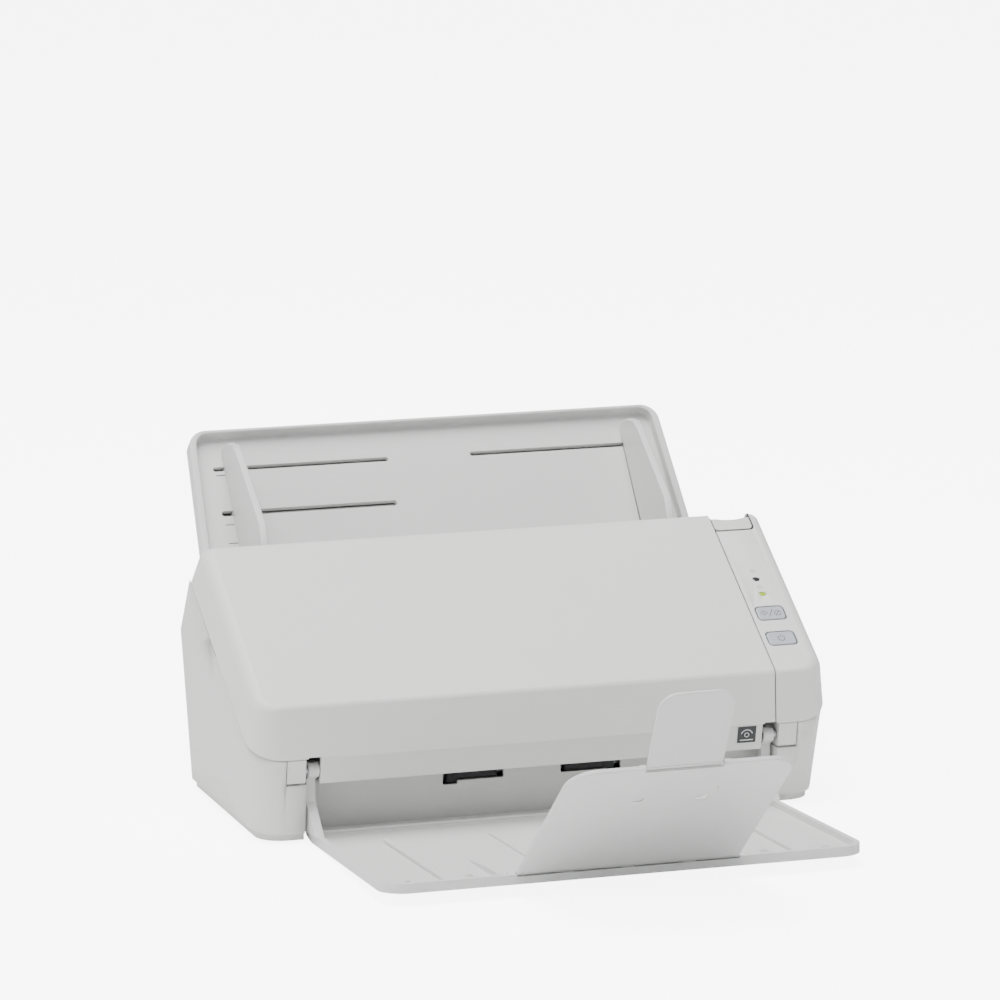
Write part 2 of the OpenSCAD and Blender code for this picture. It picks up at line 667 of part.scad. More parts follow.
module plate_outline(hw, v0, v1, r) {
    hull() both_sides() {
        translate([hw - r, v1 - r]) circle(r);
        translate([hw - 1, v0 + 1]) circle(1);
    }
}
module extension_plate() placed() color(shell_color) on_extension() difference() {
    union() {
        translate([0, 0, -ext_t / 2]) linear_extrude(ext_t) plate_outline(ext_half_w, 3.2, ext_len, 13);
        for (x = [[-ext_half_w, -33.4], [-26.6, -3.4], [3.4, 26.6], [33.4, ext_half_w]]) {
            rod([0, 0], barrel_r, x[0], x[1]);
            block([x[0], 0, -ext_t / 2], [x[1], 4.4, ext_t / 2 - 0.6]);
        }
        // Bearings of the small plate's pin
        both_sides() block([tip_half_w + 0.5, ext_len - 4, -ext_t / 2],
                           [tip_half_w + 3.5, tip_axis_u + 1.2, tip_axis_w + 1]);
    }
    rod([0, 0], ext_bore_r, -60, 60);
    // Shallow bed for the folded small plate
    block([-tip_half_w - 0.45, tip_axis_u - tip_len - recess_clear, -0.5],
          [tip_half_w + 0.45, ext_len + 3, 5]);
    both_sides() block([-tip_half_w - 0.45, tip_axis_u - 1.8, -5], [-tip_half_w + 30, ext_len + 5, 5]);
    // Finger slots
    for (x = [-7, 26]) block([x - 3, 66, -3], [x + 3, 69, 3]);
    both_sides() translate([30, 50, 0]) cylinder(r = 0.7, h = 9, center = true);
    rod([tip_axis_u, tip_axis_w], tip_pin_r, -tip_half_w - 3, tip_half_w + 3);
}
module tip_pin() placed() color(steel_color) on_extension()
    rod([tip_axis_u, tip_axis_w], tip_pin_r, -tip_half_w - 3, tip_half_w + 3);
module tip_plate() placed() color(shell_color) on_tip() difference() {
    union() {
        translate([0, 0, -tip_t / 2]) linear_extrude(tip_t) plate_outline(tip_half_w, 0, tip_len, 9);
        rod([0, 0], tip_barrel_r, -tip_half_w, tip_half_w);
    }
    rod([0, 0], tip_pin_r + fit, -40, 40);
}

// ---------- rollers and gears ----------

module pick_shaft() placed() color(steel_color) rod(pick_c, shaft_r, gear_x - 1, frame_x + frame_t + 1);
module pick_roller() placed() color(rubber_color) difference() {
    rod(pick_c, pick_r, -20, 20);
    rod(pick_c, shaft_r, -30, 30);
}
module feed_shaft() placed() color(steel_color) rod(feed_c, shaft_r, gear_x - 1, frame_x + frame_t + 1);
module feed_rollers() placed() color(rubber_color) for (x = [-32, 32]) difference() {
    rod(feed_c, feed_r, x - 14, x + 14);
    rod(feed_c, shaft_r, x - 20, x + 20);
}
module exit_shaft() placed() color(steel_color) rod(exit_c, shaft_r, gear_x - 1, frame_x + frame_t + 1);
module exit_rollers() placed() color(rubber_color) for (x = [-30.4, 30.4]) difference() {
    rod(exit_c, exit_r, x - 13, x + 13);
    rod(exit_c, shaft_r, x - 20, x + 20);
}
module feed_gear() placed() color(gear_color) gear(feed_c, feed_teeth, feed_phase, gear_x, gear_w, shaft_r);
module exit_gear() placed() color(gear_color) gear(exit_c, exit_teeth, exit_phase, gear_x, gear_w, shaft_r);
module pick_gear() placed() color(gear_color) gear(pick_c, pick_teeth, pick_phase, gear_x, gear_w, shaft_r);
module exit_idler_gear() placed() color(gear_color)
    gear(exit_idler_c2, exit_idler_teeth, exit_idler_phase, gear_x, gear_w, 2 + fit);
module pick_idler_gear() placed() color(gear_color)
    gear(pick_idler_c, pick_idler_teeth, pick_idler_phase, gear_x, gear_w, 2 + fit);
module motor_pinion() placed() color(gear_color) {
    gear(motor_c, motor_teeth, motor_phase, gear_x, gear_w, 1.5);
    rod(motor_c, 1.5, gear_x - 9, gear_x + gear_w);
}
// Small roller on its own axle between the cover's cheeks
module cover_roller(c, r, xs, half_len) {
    rod(c, 1.5, -frame_x + 1.5, frame_x - 1.5);
    for (x = xs) rod(c, r, x - half_len, x + half_len);
}
module brake_roller() placed() color(rubber_color) cover_roller(brake_c, brake_r, [0], 11);
module feed_idlers() placed() color(frame_color) cover_roller(feed_idler_c, feed_idler_r, [-32, 32], 12);
module exit_idlers() placed() color(frame_color) cover_roller(exit_idler_c, exit_idler_r, [-32, 32], 12);

base_shell();
bottom_plate();
rubber_feet();
base_screws();
exit_wall();
lower_guide();
left_side_frame();
right_side_frame();
lower_sensor();
lower_glass();
main_board();
motor_body();
hinge_pins();
power_jack();
usb_socket();
chute_plate();
chute_back();
shaft_bushes();
latch_keepers();
top_cover();
panel_cover();
hinge_lugs();
upper_guide();
upper_sensor();
upper_glass();
cover_brackets();
status_lenses();
strip_label();
open_tab();
latch_bar();
scan_button();
power_button();
stacker_tray();
stacker_arms();
extension_pin();
extension_plate();
tip_pin();
tip_plate();
left_guide();
right_guide();
guide_pinion();
chute_extension();
pick_shaft();
pick_roller();
pick_gear();
pick_idler_gear();
brake_roller();
feed_shaft();
feed_rollers();
feed_gear();
exit_shaft();
exit_rollers();
exit_gear();
exit_idler_gear();
motor_pinion();
feed_idlers();
exit_idlers();
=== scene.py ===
"""Sheet fed document scanner: the visual model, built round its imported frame.

Lengths in this file are millimetres in the machine's own frame, whose Y starts at the middle of the
body's depth. Every finished piece is moved into the row frame, in metres, by the matrix ROW.
"""
import json
import logging
import math
from dataclasses import dataclass, field
from enum import Enum
from typing import Any, Sequence

import bmesh
import bpy
from mathutils import Matrix, Vector


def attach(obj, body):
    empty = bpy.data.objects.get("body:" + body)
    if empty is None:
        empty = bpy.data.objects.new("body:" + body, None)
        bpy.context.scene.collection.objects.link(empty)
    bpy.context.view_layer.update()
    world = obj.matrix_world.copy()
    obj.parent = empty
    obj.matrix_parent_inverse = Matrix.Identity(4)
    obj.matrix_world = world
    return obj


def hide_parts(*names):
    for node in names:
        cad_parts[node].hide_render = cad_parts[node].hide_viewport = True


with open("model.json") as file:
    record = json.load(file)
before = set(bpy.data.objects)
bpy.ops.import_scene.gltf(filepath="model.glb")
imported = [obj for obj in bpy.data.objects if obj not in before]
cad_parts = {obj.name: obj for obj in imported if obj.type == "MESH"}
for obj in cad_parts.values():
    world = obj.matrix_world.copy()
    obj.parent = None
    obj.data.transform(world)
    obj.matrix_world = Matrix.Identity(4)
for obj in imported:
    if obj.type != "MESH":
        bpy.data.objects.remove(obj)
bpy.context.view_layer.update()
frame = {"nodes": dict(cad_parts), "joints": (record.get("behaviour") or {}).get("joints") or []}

LOG = logging.getLogger("scanner")
Point = Sequence[float]
Outline = list[tuple[float, float]]

JOINTS = {joint["name"]: joint for joint in frame["joints"]}
HINGE_Y = -61.5
HINGE_Z = 36.4
SHIFT_Y = JOINTS["cover_open"]["pos_m"][1] * 1000 - HINGE_Y
ROW = Matrix.Scale(0.001, 4) @ Matrix.Translation((0, SHIFT_Y, 0))


def turn_x(degrees: float) -> Matrix:
    """Rotation about X by so many degrees."""
    return Matrix.Rotation(math.radians(degrees), 4, "X")


BODY = Matrix.Identity(4)
TILT = 31.5
FRONT_Y = -67.5
BELT_Z = 43.0
SLAB = Matrix.Translation((0, FRONT_Y, BELT_Z)) @ turn_x(TILT)
CHUTE = Matrix.Translation((0, 67.5, 78.5)) @ turn_x(51.5)
TRAY_TILT = 2.66
TRAY = Matrix.Translation((0, -66, 0.5)) @ turn_x(-TRAY_TILT)
EXT_ANGLE = 39.4
EXTENSION = (TRAY @ Matrix.Translation((0, -123, 3.7)) @ turn_x(TRAY_TILT + 180 - EXT_ANGLE)
             @ Matrix.Scale(-1, 4, (0, 0, 1)))
TIP_U = 105.6
TIP_RISE = 0.6
TIP_TURN = 23.7
TIP = EXTENSION @ Matrix.Translation((0, TIP_U, TIP_RISE)) @ turn_x(TIP_TURN)
EXIT_AXIS = (-36.3, 22.43)


# ---------------------------------------------------------------- shader nodes

class Value:
    """A number on a shader socket, with arithmetic that adds Math nodes."""

    def __init__(self, graph: "Graph", socket: bpy.types.NodeSocket) -> None:
        """Wraps one output socket of a graph."""
        self.graph = graph
        self.socket = socket

    def _with(self, operation: str, first: Any, second: Any = None) -> "Value":
        """Adds one Math node on one or two operands."""
        inputs = {0: first} if second is None else {0: first, 1: second}
        node = self.graph.node("ShaderNodeMath", {"operation": operation}, inputs)
        return Value(self.graph, node.outputs[0])

    def __add__(self, other: Any) -> "Value":
        """Sum."""
        return self._with("ADD", self, other)

    __radd__ = __add__

    def __sub__(self, other: Any) -> "Value":
        """Difference."""
        return self._with("SUBTRACT", self, other)

    def __rsub__(self, other: Any) -> "Value":
        """Reflected difference, so that 1 - mask works."""
        return self._with("SUBTRACT", other, self)

    def __mul__(self, other: Any) -> "Value":
        """Product."""
        return self._with("MULTIPLY", self, other)

    __rmul__ = __mul__

    def __truediv__(self, other: Any) -> "Value":
        """Quotient."""
        return self._with("DIVIDE", self, other)

    def __gt__(self, other: Any) -> "Value":
        """One where the value is greater, otherwise nought."""
        return self._with("GREATER_THAN", self, other)

    def clamped(self) -> "Value":
        """The value held between nought and one."""
        return self._with("MINIMUM", self._with("MAXIMUM", self, 0.0), 1.0)


class Graph:
    """Node tree of one material."""

    def __init__(self, name: str) -> None:
        """Makes an empty material with a Principled shader."""
        self.material = bpy.data.materials.new(name)
        self.material.use_nodes = True
        self.tree = self.material.node_tree
        self.tree.nodes.clear()
        self.shader = self.node("ShaderNodeBsdfPrincipled")
        self.output = self.node("ShaderNodeOutputMaterial", {}, {"Surface": self.shader.outputs[0]})
        self.place = self.node("ShaderNodeTexCoord").outputs["Object"]

    def node(self, kind: str, settings: dict[str, Any] | None = None,
             inputs: dict[Any, Any] | None = None) -> bpy.types.Node:
        """Adds one node.

        Args:
            kind: the node's type name.
            settings: properties set before the sockets; "stops" fills a colour ramp.
            inputs: numbers, colours, sockets or Values by socket name or index.

        Returns:
            The new node.
        """
        made = self.tree.nodes.new(kind)
        for key, value in (settings or {}).items():
            if key == "stops":
                ramp = made.color_ramp.elements
                for index, (place, colour) in enumerate(value):
                    stop = ramp[index] if index < 2 else ramp.new(place)
                    stop.position = place
                    stop.color = colour
            else:
                setattr(made, key, value)
        for key, value in (inputs or {}).items():
            if isinstance(value, Value):
                value = value.socket
            if isinstance(value, bpy.types.NodeSocket):
                self.tree.links.new(value, made.inputs[key])
            else:
                made.inputs[key].default_value = value
        return made

    def stretched(self, scale: Point) -> bpy.types.NodeSocket:
        """Object coordinates multiplied by a scale on each axis."""
        mapping = self.node("ShaderNodeMapping", {}, {"Vector": self.place, "Scale": tuple(scale)})
        return mapping.outputs[0]

    def noise(self, size_mm: float, detail: float = 2.0, stretch: Point = (1, 1, 1)) -> Value:
        """Noise of a given grain size, about 0.5 on average."""
        node = self.node("ShaderNodeTexNoise", {}, {
            "Vector": self.stretched(stretch), "Scale": 1000.0 / size_mm, "Detail": detail})
        return Value(self, node.outputs["Fac"])

    def mixed(self, factor: Value | float, first: Any, second: Any) -> bpy.types.NodeSocket:
        """Colour between two colours."""
        mix = self.tree.nodes.new("ShaderNodeMix")
        mix.data_type = "RGBA"
        for index, value in ((0, factor), (6, first), (7, second)):
            if isinstance(value, Value):
                value = value.socket
            if isinstance(value, bpy.types.NodeSocket):
                self.tree.links.new(value, mix.inputs[index])
            elif index == 0:
                mix.inputs[index].default_value = value
            else:
                mix.inputs[index].default_value = (*value, 1.0)
        return mix.outputs[2]

    def bump(self, height: Value, depth_mm: float, under: Any = None) -> bpy.types.NodeSocket:
        """Normal of a surface raised by height times depth."""
        inputs = {"Height": height, "Distance": depth_mm / 1000.0, "Strength": 1.0}
        if under is not None:
            inputs["Normal"] = under
        return self.node("ShaderNodeBump", {}, inputs).outputs[0]

    def put(self, **values: Any) -> None:
        """Sets the shader's sockets by name, with underscores for spaces."""
        for key, value in values.items():
            socket = self.shader.inputs[key.replace("_", " ")]
            if isinstance(value, Value):
                value = value.socket
            if isinstance(value, bpy.types.NodeSocket):
                self.tree.links.new(value, socket)
            elif isinstance(value, tuple) and len(value) == 3:
                socket.default_value = (*value, 1.0)
            else:
                socket.default_value = value


# ---------------------------------------------------------------- finishes

@dataclass(frozen=True)
class MouldedPlastic:
    """Moulded plastic: spark-eroded grain, faint flow mottling and handling marks."""

    name: str
    colour: tuple[float, float, float]
    roughness: float = 0.46
    grain_mm: float = 0.55
    grain_depth_mm: float = 0.018
    mottle: float = 0.03
    coat: float = 0.0

    def make(self) -> bpy.types.Material:
        """Builds the material."""
        graph = Graph(self.name)
        cloud = graph.noise(38.0, 3.0)
        patch = graph.noise(7.0, 4.0)
        grain = graph.noise(self.grain_mm, 2.0)
        coarse = graph.noise(self.grain_mm * 3.2, 1.0)
        dark = tuple(c * (1 - self.mottle) for c in self.colour)
        light = tuple(min(1.0, c * (1 + self.mottle * 0.6)) for c in self.colour)
        tone = (cloud * 0.7 + patch * 0.3).clamped()
        graph.put(Base_Color=graph.mixed(tone, dark, light),
                  Roughness=self.roughness + (patch - 0.5) * 0.09 + (grain - 0.5) * 0.05,
                  Normal=graph.bump(grain * 0.7 + coarse * 0.3, self.grain_depth_mm),
                  Coat_Weight=self.coat, Coat_Roughness=0.2, IOR=1.48)
        return graph.material


@dataclass(frozen=True)
class SoftRubber:
    """Matt rubber with a fine ground surface and a dusty bloom."""

    name: str
    colour: tuple[float, float, float]

    def make(self) -> bpy.types.Material:
        """Builds the material."""
        graph = Graph(self.name)
        grit = graph.noise(0.35, 3.0)
        bloom = graph.noise(9.0, 4.0)
        dusty = tuple(c * 1.9 + 0.02 for c in self.colour)
        graph.put(Base_Color=graph.mixed((bloom - 0.35) * 0.9, self.colour, dusty),
                  Roughness=0.78 + (bloom - 0.5) * 0.16,
                  Normal=graph.bump(grit, 0.03))
        return graph.material


@dataclass(frozen=True)
class TurnedSteel:
    """Drawn or turned steel with fine marks along or round X."""

    name: str
    colour: tuple[float, float, float] = (0.62, 0.63, 0.65)
    roughness: float = 0.28

    def make(self) -> bpy.types.Material:
        """Builds the material."""
        graph = Graph(self.name)
        marks = graph.noise(0.6, 3.0, (0.06, 1, 1))
        stain = graph.noise(14.0, 3.0)
        dull = tuple(c * 0.82 for c in self.colour)
        graph.put(Base_Color=graph.mixed(stain, dull, self.colour), Metallic=1.0,
                  Roughness=self.roughness + (marks - 0.5) * 0.2,
                  Normal=graph.bump(marks, 0.006))
        return graph.material


@dataclass(frozen=True)
class SolderMask:
    """Circuit board: copper tracks under a green mask."""

    name: str = "board_mask"

    def make(self) -> bpy.types.Material:
        """Builds the material."""
        graph = Graph(self.name)
        brick = graph.node("ShaderNodeTexBrick", {"offset": 0.37, "squash": 1.6}, {
            "Vector": graph.place, "Scale": 260.0, "Mortar Size": 0.035, "Mortar Smooth": 0.1})
        tracks = Value(graph, brick.outputs["Fac"])
        patch = graph.noise(11.0, 2.0)
        base = graph.mixed(patch, (0.012, 0.105, 0.05), (0.02, 0.15, 0.07))
        graph.put(Base_Color=graph.mixed(tracks, base, (0.05, 0.24, 0.1)), Roughness=0.32 + tracks * 0.1,
                  Normal=graph.bump(tracks, 0.03), Coat_Weight=0.3, Coat_Roughness=0.15)
        return graph.material


@dataclass(frozen=True)
class ClearGlass:
    """Sensor glass, seen as a dark glossy strip."""

    name: str = "sensor_glass"

    def make(self) -> bpy.types.Material:
        """Builds the material."""
        graph = Graph(self.name)
        smear = graph.noise(16.0, 4.0)
        graph.put(Base_Color=graph.mixed(smear, (0.05, 0.07, 0.075), (0.09, 0.11, 0.115)),
                  Roughness=0.05 + smear * 0.08, Coat_Weight=1.0, Coat_Roughness=0.03, IOR=1.52)
        return graph.material


@dataclass(frozen=True)
class LitLens:
    """Small light window, lit from behind or dark."""

    name: str
    colour: tuple[float, float, float]
    glow: float

    def make(self) -> bpy.types.Material:
        """Builds the material."""
        graph = Graph(self.name)
        spot = graph.noise(1.4, 2.0)
        dim = tuple(c * 0.55 for c in self.colour)
        graph.put(Base_Color=graph.mixed(spot, dim, self.colour), Roughness=0.12 + spot * 0.08,
                  Coat_Weight=1.0, Coat_Roughness=0.05, Emission_Strength=self.glow,
                  Emission_Color=graph.mixed(spot, dim, self.colour))
        return graph.material


@dataclass(frozen=True)
class StudioPaper:
    """Plain pale floor."""

    name: str = "studio_floor"

    def make(self) -> bpy.types.Material:
        """Builds the material."""
        graph = Graph(self.name)
        fibre = graph.noise(3.0, 3.0)
        seen = Value(graph, graph.node("ShaderNodeLightPath").outputs["Is Camera Ray"])
        graph.put(Base_Color=graph.mixed(fibre, (0.955, 0.955, 0.955), (0.97, 0.97, 0.97)), Roughness=0.7,
                  Emission_Color=graph.mixed(seen, (0.02, 0.02, 0.02), (1.0, 1.0, 1.0)), Emission_Strength=6.5)
        return graph.material


class Finish(Enum):
    """Every finish of the machine, by name."""

    SHELL = MouldedPlastic("shell_plastic", (0.735, 0.735, 0.715))
    BASE = MouldedPlastic("base_plastic", (0.70, 0.70, 0.68))
    TRAY = MouldedPlastic("tray_plastic", (0.665, 0.67, 0.655))
    SMOOTH = MouldedPlastic("guide_plastic", (0.66, 0.665, 0.65), 0.4, 0.8, 0.008)
    TAB = MouldedPlastic("tab_plastic", (0.68, 0.68, 0.65), 0.38, 0.8, 0.006)
    KEY = MouldedPlastic("key_plastic", (0.43, 0.455, 0.50), 0.35, 0.7, 0.006, 0.02, 0.15)
    INNER = MouldedPlastic("inner_plastic", (0.42, 0.42, 0.41), 0.55)
    DARK = MouldedPlastic("dark_plastic", (0.035, 0.036, 0.04), 0.5, 0.5, 0.02, 0.15)
    SOCKET = MouldedPlastic("socket_plastic", (0.02, 0.02, 0.022), 0.4, 0.7, 0.01, 0.1)
    GEAR = MouldedPlastic("acetal", (0.78, 0.76, 0.7), 0.3, 1.2, 0.004)
    PRINT = MouldedPlastic("printed_mark", (0.10, 0.105, 0.12), 0.6, 0.3, 0.004)
    PALE_PRINT = MouldedPlastic("pale_printed_mark", (0.28, 0.285, 0.29), 0.6, 0.3, 0.004)
    RUBBER = SoftRubber("roller_rubber", (0.03, 0.03, 0.032))
    FOOT = SoftRubber("foot_rubber", (0.05, 0.05, 0.052))
    STEEL = TurnedSteel("turned_steel")
    PLATE = TurnedSteel("plated_sheet", (0.55, 0.56, 0.57), 0.36)
    BOARD = SolderMask()
    GLASS = ClearGlass()
    LENS_ON = LitLens("lens_on", (0.42, 0.6, 0.005), 0.3)
    LENS_OFF = LitLens("lens_off", (0.02, 0.02, 0.022), 0.0)
    FLOOR = StudioPaper()


MATERIALS: dict[Finish, bpy.types.Material] = {}


def material_of(finish: Finish) -> bpy.types.Material:
    """The finish's material, made the first time it is asked for."""
    if finish not in MATERIALS:
        MATERIALS[finish] = finish.value.make()
    return MATERIALS[finish]


# ---------------------------------------------------------------- mesh tools

def new_object(name: str, mesh: bpy.types.Mesh) -> bpy.types.Object:
    """Links a mesh into the scene under a name."""
    made = bpy.data.objects.new(name, mesh)
    bpy.context.scene.collection.objects.link(made)
    return made


def solid(name: str, points: Sequence[Point], faces: Sequence[Sequence[int]],
          place: Matrix = BODY) -> bpy.types.Object:
    """Closed mesh from points and faces, with its faces turned outwards.

    Args:
        name: the object's name.
        points: corners in the frame that place maps into the machine's.
        faces: corner numbers of each face.
        place: matrix into the machine's own frame.

    Returns:
        The object, still in millimetres.
    """
    mesh = bpy.data.meshes.new(name)
    mesh.from_pydata([tuple(place @ Vector(p)) for p in points], [], [tuple(f) for f in faces])
    shape = bmesh.new()
    shape.from_mesh(mesh)
    bmesh.ops.remove_doubles(shape, verts=shape.verts, dist=0.0005)
    bmesh.ops.recalc_face_normals(shape, faces=shape.faces)
    shape.to_mesh(mesh)
    shape.free()
    return new_object(name, mesh)


def prism(name: str, outline: Outline, low: float, high: float, place: Matrix = BODY) -> bpy.types.Object:
    """Outline in XY, drawn up along Z from low to high."""
    count = len(outline)
    points = [(x, y, z) for z in (low, high) for x, y in outline]
    faces = [list(range(count)), list(range(count, 2 * count))]
    faces += [[i, (i + 1) % count, count + (i + 1) % count, count + i] for i in range(count)]
    return solid(name, points, faces, place)


UPRIGHT = Matrix(((0, 0, 1, 0), (1, 0, 0, 0), (0, 1, 0, 0), (0, 0, 0, 1)))


def slice_x(name: str, outline: Outline, low: float, high: float, place: Matrix = BODY) -> bpy.types.Object:
    """Outline in YZ, drawn along X from low to high."""
    return prism(name, outline, low, high, place @ UPRIGHT)


def cuboid(name: str, low: Point, high: Point, place: Matrix = BODY) -> bpy.types.Object:
    """Box between two corners."""
    outline = [(low[0], low[1]), (high[0], low[1]), (high[0], high[1]), (low[0], high[1])]
    return prism(name, outline, low[2], high[2], place)


def rod_x(name: str, centre: Point, radius: float, low: float, high: float, place: Matrix = BODY,
          sides: int = 40) -> bpy.types.Object:
    """Cylinder along X about a centre in YZ."""
    outline = [(centre[0] + radius * math.cos(2 * math.pi * i / sides),
                centre[1] + radius * math.sin(2 * math.pi * i / sides)) for i in range(sides)]
    return slice_x(name, outline, low, high, place)


def rounded(low: Point, high: Point, radii: Sequence[float], steps: int = 8) -> Outline:
    """Rectangle with round corners, anticlockwise from the low corner.

    Args:
        low: lowest x and y.
        high: highest x and y.
        radii: radius of the corners at low-low, high-low, high-high and low-high.
        steps: segments of each corner.

    Returns:
        The outline's points.
    """
    centres = [(low[0] + radii[0], low[1] + radii[0]), (high[0] - radii[1], low[1] + radii[1]),
               (high[0] - radii[2], high[1] - radii[2]), (low[0] + radii[3], high[1] - radii[3])]
    made: Outline = []
    for corner, (cx, cy) in enumerate(centres):
        for step in range(steps + 1):
            angle = math.radians(180 + 90 * corner + 90 * step / steps)
            made.append((cx + radii[corner] * math.cos(angle), cy + radii[corner] * math.sin(angle)))
    return made


def arc(centre: Point, radius: float, start: float, end: float, steps: int = 8) -> Outline:
    """Points on an arc between two angles in degrees."""
    angles = [math.radians(start + (end - start) * i / steps) for i in range(steps + 1)]
    return [(centre[0] + radius * math.cos(a), centre[1] + radius * math.sin(a)) for a in angles]


def span(side: int, inner: float, outer: float) -> tuple[float, float]:
    """X values of two distances from the middle to one side, the lower first."""
    low, high = sorted((inner * side, outer * side))
    return low, high


def lofted(name: str, rings: Sequence[Sequence[Point]], place: Matrix = BODY) -> bpy.types.Object:
    """Skin over rings with the same number of points, closed by its first and last ring."""
    count = len(rings[0])
    points = [p for ring in rings for p in ring]
    faces = [list(range(count)), list(range((len(rings) - 1) * count, len(rings) * count))]
    for level in range(len(rings) - 1):
        base = level * count
        faces += [[base + i, base + (i + 1) % count, base + count + (i + 1) % count, base + count + i]
                  for i in range(count)]
    return solid(name, points, faces, place)


def settle(piece: bpy.types.Object) -> bpy.types.Object:
    """Turns the piece with its modifiers into a plain mesh."""
    view = bpy.context.evaluated_depsgraph_get()
    mesh = bpy.data.meshes.new_from_object(piece.evaluated_get(view))
    piece.modifiers.clear()
    piece.data = mesh
    return piece


def combine(piece: bpy.types.Object, operation: str, *tools: bpy.types.Object) -> bpy.types.Object:
    """Boolean of a piece with one or more tools, which are used up.

    Args:
        piece: the piece that is kept.
        operation: DIFFERENCE, UNION or INTERSECT.
        tools: the other solids.

    Returns:
        The same piece, changed.
    """
    for tool in tools:
        modifier = piece.modifiers.new("combine", "BOOLEAN")
        modifier.operation = operation
        modifier.solver = "EXACT"
        modifier.object = tool
        settle(piece)
        bpy.data.objects.remove(tool)
    return piece


def cut(piece: bpy.types.Object, *tools: bpy.types.Object) -> bpy.types.Object:
    """Takes tools away from a piece."""
    return combine(piece, "DIFFERENCE", *tools)


def weld(piece: bpy.types.Object, *tools: bpy.types.Object) -> bpy.types.Object:
    """Adds tools to a piece."""
    return combine(piece, "UNION", *tools)


def without_crumbs(piece: bpy.types.Object, size: float = 1.5) -> bpy.types.Object:
    """Deletes loose crumbs, smaller than a size in millimetres, that a cut has left."""
    shape = bmesh.new()
    shape.from_mesh(piece.data)
    bmesh.ops.remove_doubles(shape, verts=shape.verts, dist=0.004)
    waiting = set(shape.verts)
    crumbs: list[bmesh.types.BMVert] = []
    while waiting:
        island = [waiting.pop()]
        for vert in island:
            for edge in vert.link_edges:
                other = edge.other_vert(vert)
                if other in waiting:
                    waiting.discard(other)
                    island.append(other)
        spans = [max(v.co[axis] for v in island) - min(v.co[axis] for v in island) for axis in range(3)]
        if max(spans) < size:
            crumbs += island
    bmesh.ops.delete(shape, geom=crumbs, context="VERTS")
    shape.to_mesh(piece.data)
    shape.free()
    return piece


def eased(piece: bpy.types.Object, width: float = 0.35, steps: int = 2, angle: float = 33) -> bpy.types.Object:
    """Rounds a piece's edges and settles its shading.

    Args:
        piece: the piece.
        width: bevel width in millimetres.
        steps: bevel segments.
        angle: edges sharper than this many degrees are rounded.

    Returns:
        The same piece, changed.
    """
    shape = bmesh.new()
    shape.from_mesh(piece.data)
    bmesh.ops.remove_doubles(shape, verts=shape.verts, dist=0.002)
    bmesh.ops.dissolve_limit(shape, angle_limit=math.radians(0.6), verts=shape.verts, edges=shape.edges)
    shape.to_mesh(piece.data)
    shape.free()
    bevel = piece.modifiers.new("ease", "BEVEL")
    bevel.width = width
    bevel.segments = steps
    bevel.limit_method = "ANGLE"
    bevel.angle_limit = math.radians(angle)
    bevel.use_clamp_overlap = True
    bevel.miter_outer = "MITER_ARC"
    return shaded(settle(piece))


def shaded(piece: bpy.types.Object, angle: float = 58) -> bpy.types.Object:
    """Smooth shading that leaves flat faces flat and edges over an angle sharp."""
    piece.data.shade_smooth()
    piece.data.set_sharp_from_angle(angle=math.radians(angle))
    weigh = piece.modifiers.new("normals", "WEIGHTED_NORMAL")
    weigh.keep_sharp = True
    weigh.weight = 70
    return settle(piece)


def copy_of(node: str, name: str) -> bpy.types.Object:
    """A CAD node's mesh as a new piece in millimetres, with its loose triangles merged."""
    mesh = frame["nodes"][node].data.copy()
    mesh.transform(ROW.inverted())
    shape = bmesh.new()
    shape.from_mesh(mesh)
    bmesh.ops.remove_doubles(shape, verts=shape.verts, dist=0.002)
    shape.to_mesh(mesh)
    shape.free()
    mesh.materials.clear()
    return new_object(name, mesh)


def publish(piece: bpy.types.Object, finish: Finish, body: str, slot: str, *nodes: str) -> bpy.types.Object:
    """Args:
        piece: the piece, in millimetres.
        finish: its finish.
        body: the moving body it rides on.
        slot: the record's material slot; not used.
        nodes: CAD nodes that it stands for.

    Returns:
        The same piece, in metres.
    """
    piece.data.validate()
    piece.data.transform(ROW)
    piece.data.materials.clear()
    piece.data.materials.append(material_of(finish))
    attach(piece, body)
    if nodes:
        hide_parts(*nodes)
    LOG.info("%s: %d faces on %s", piece.name, len(piece.data.polygons), body)
    return piece


def softened(node: str, finish: Finish, body: str, slot: str, width: float = 0.3) -> bpy.types.Object:
    """Stands for a CAD node with the same shape and eased edges."""
    return publish(eased(copy_of(node, node + "_skin"), width), finish, body, slot, node)


# ---------------------------------------------------------------- repeating parts

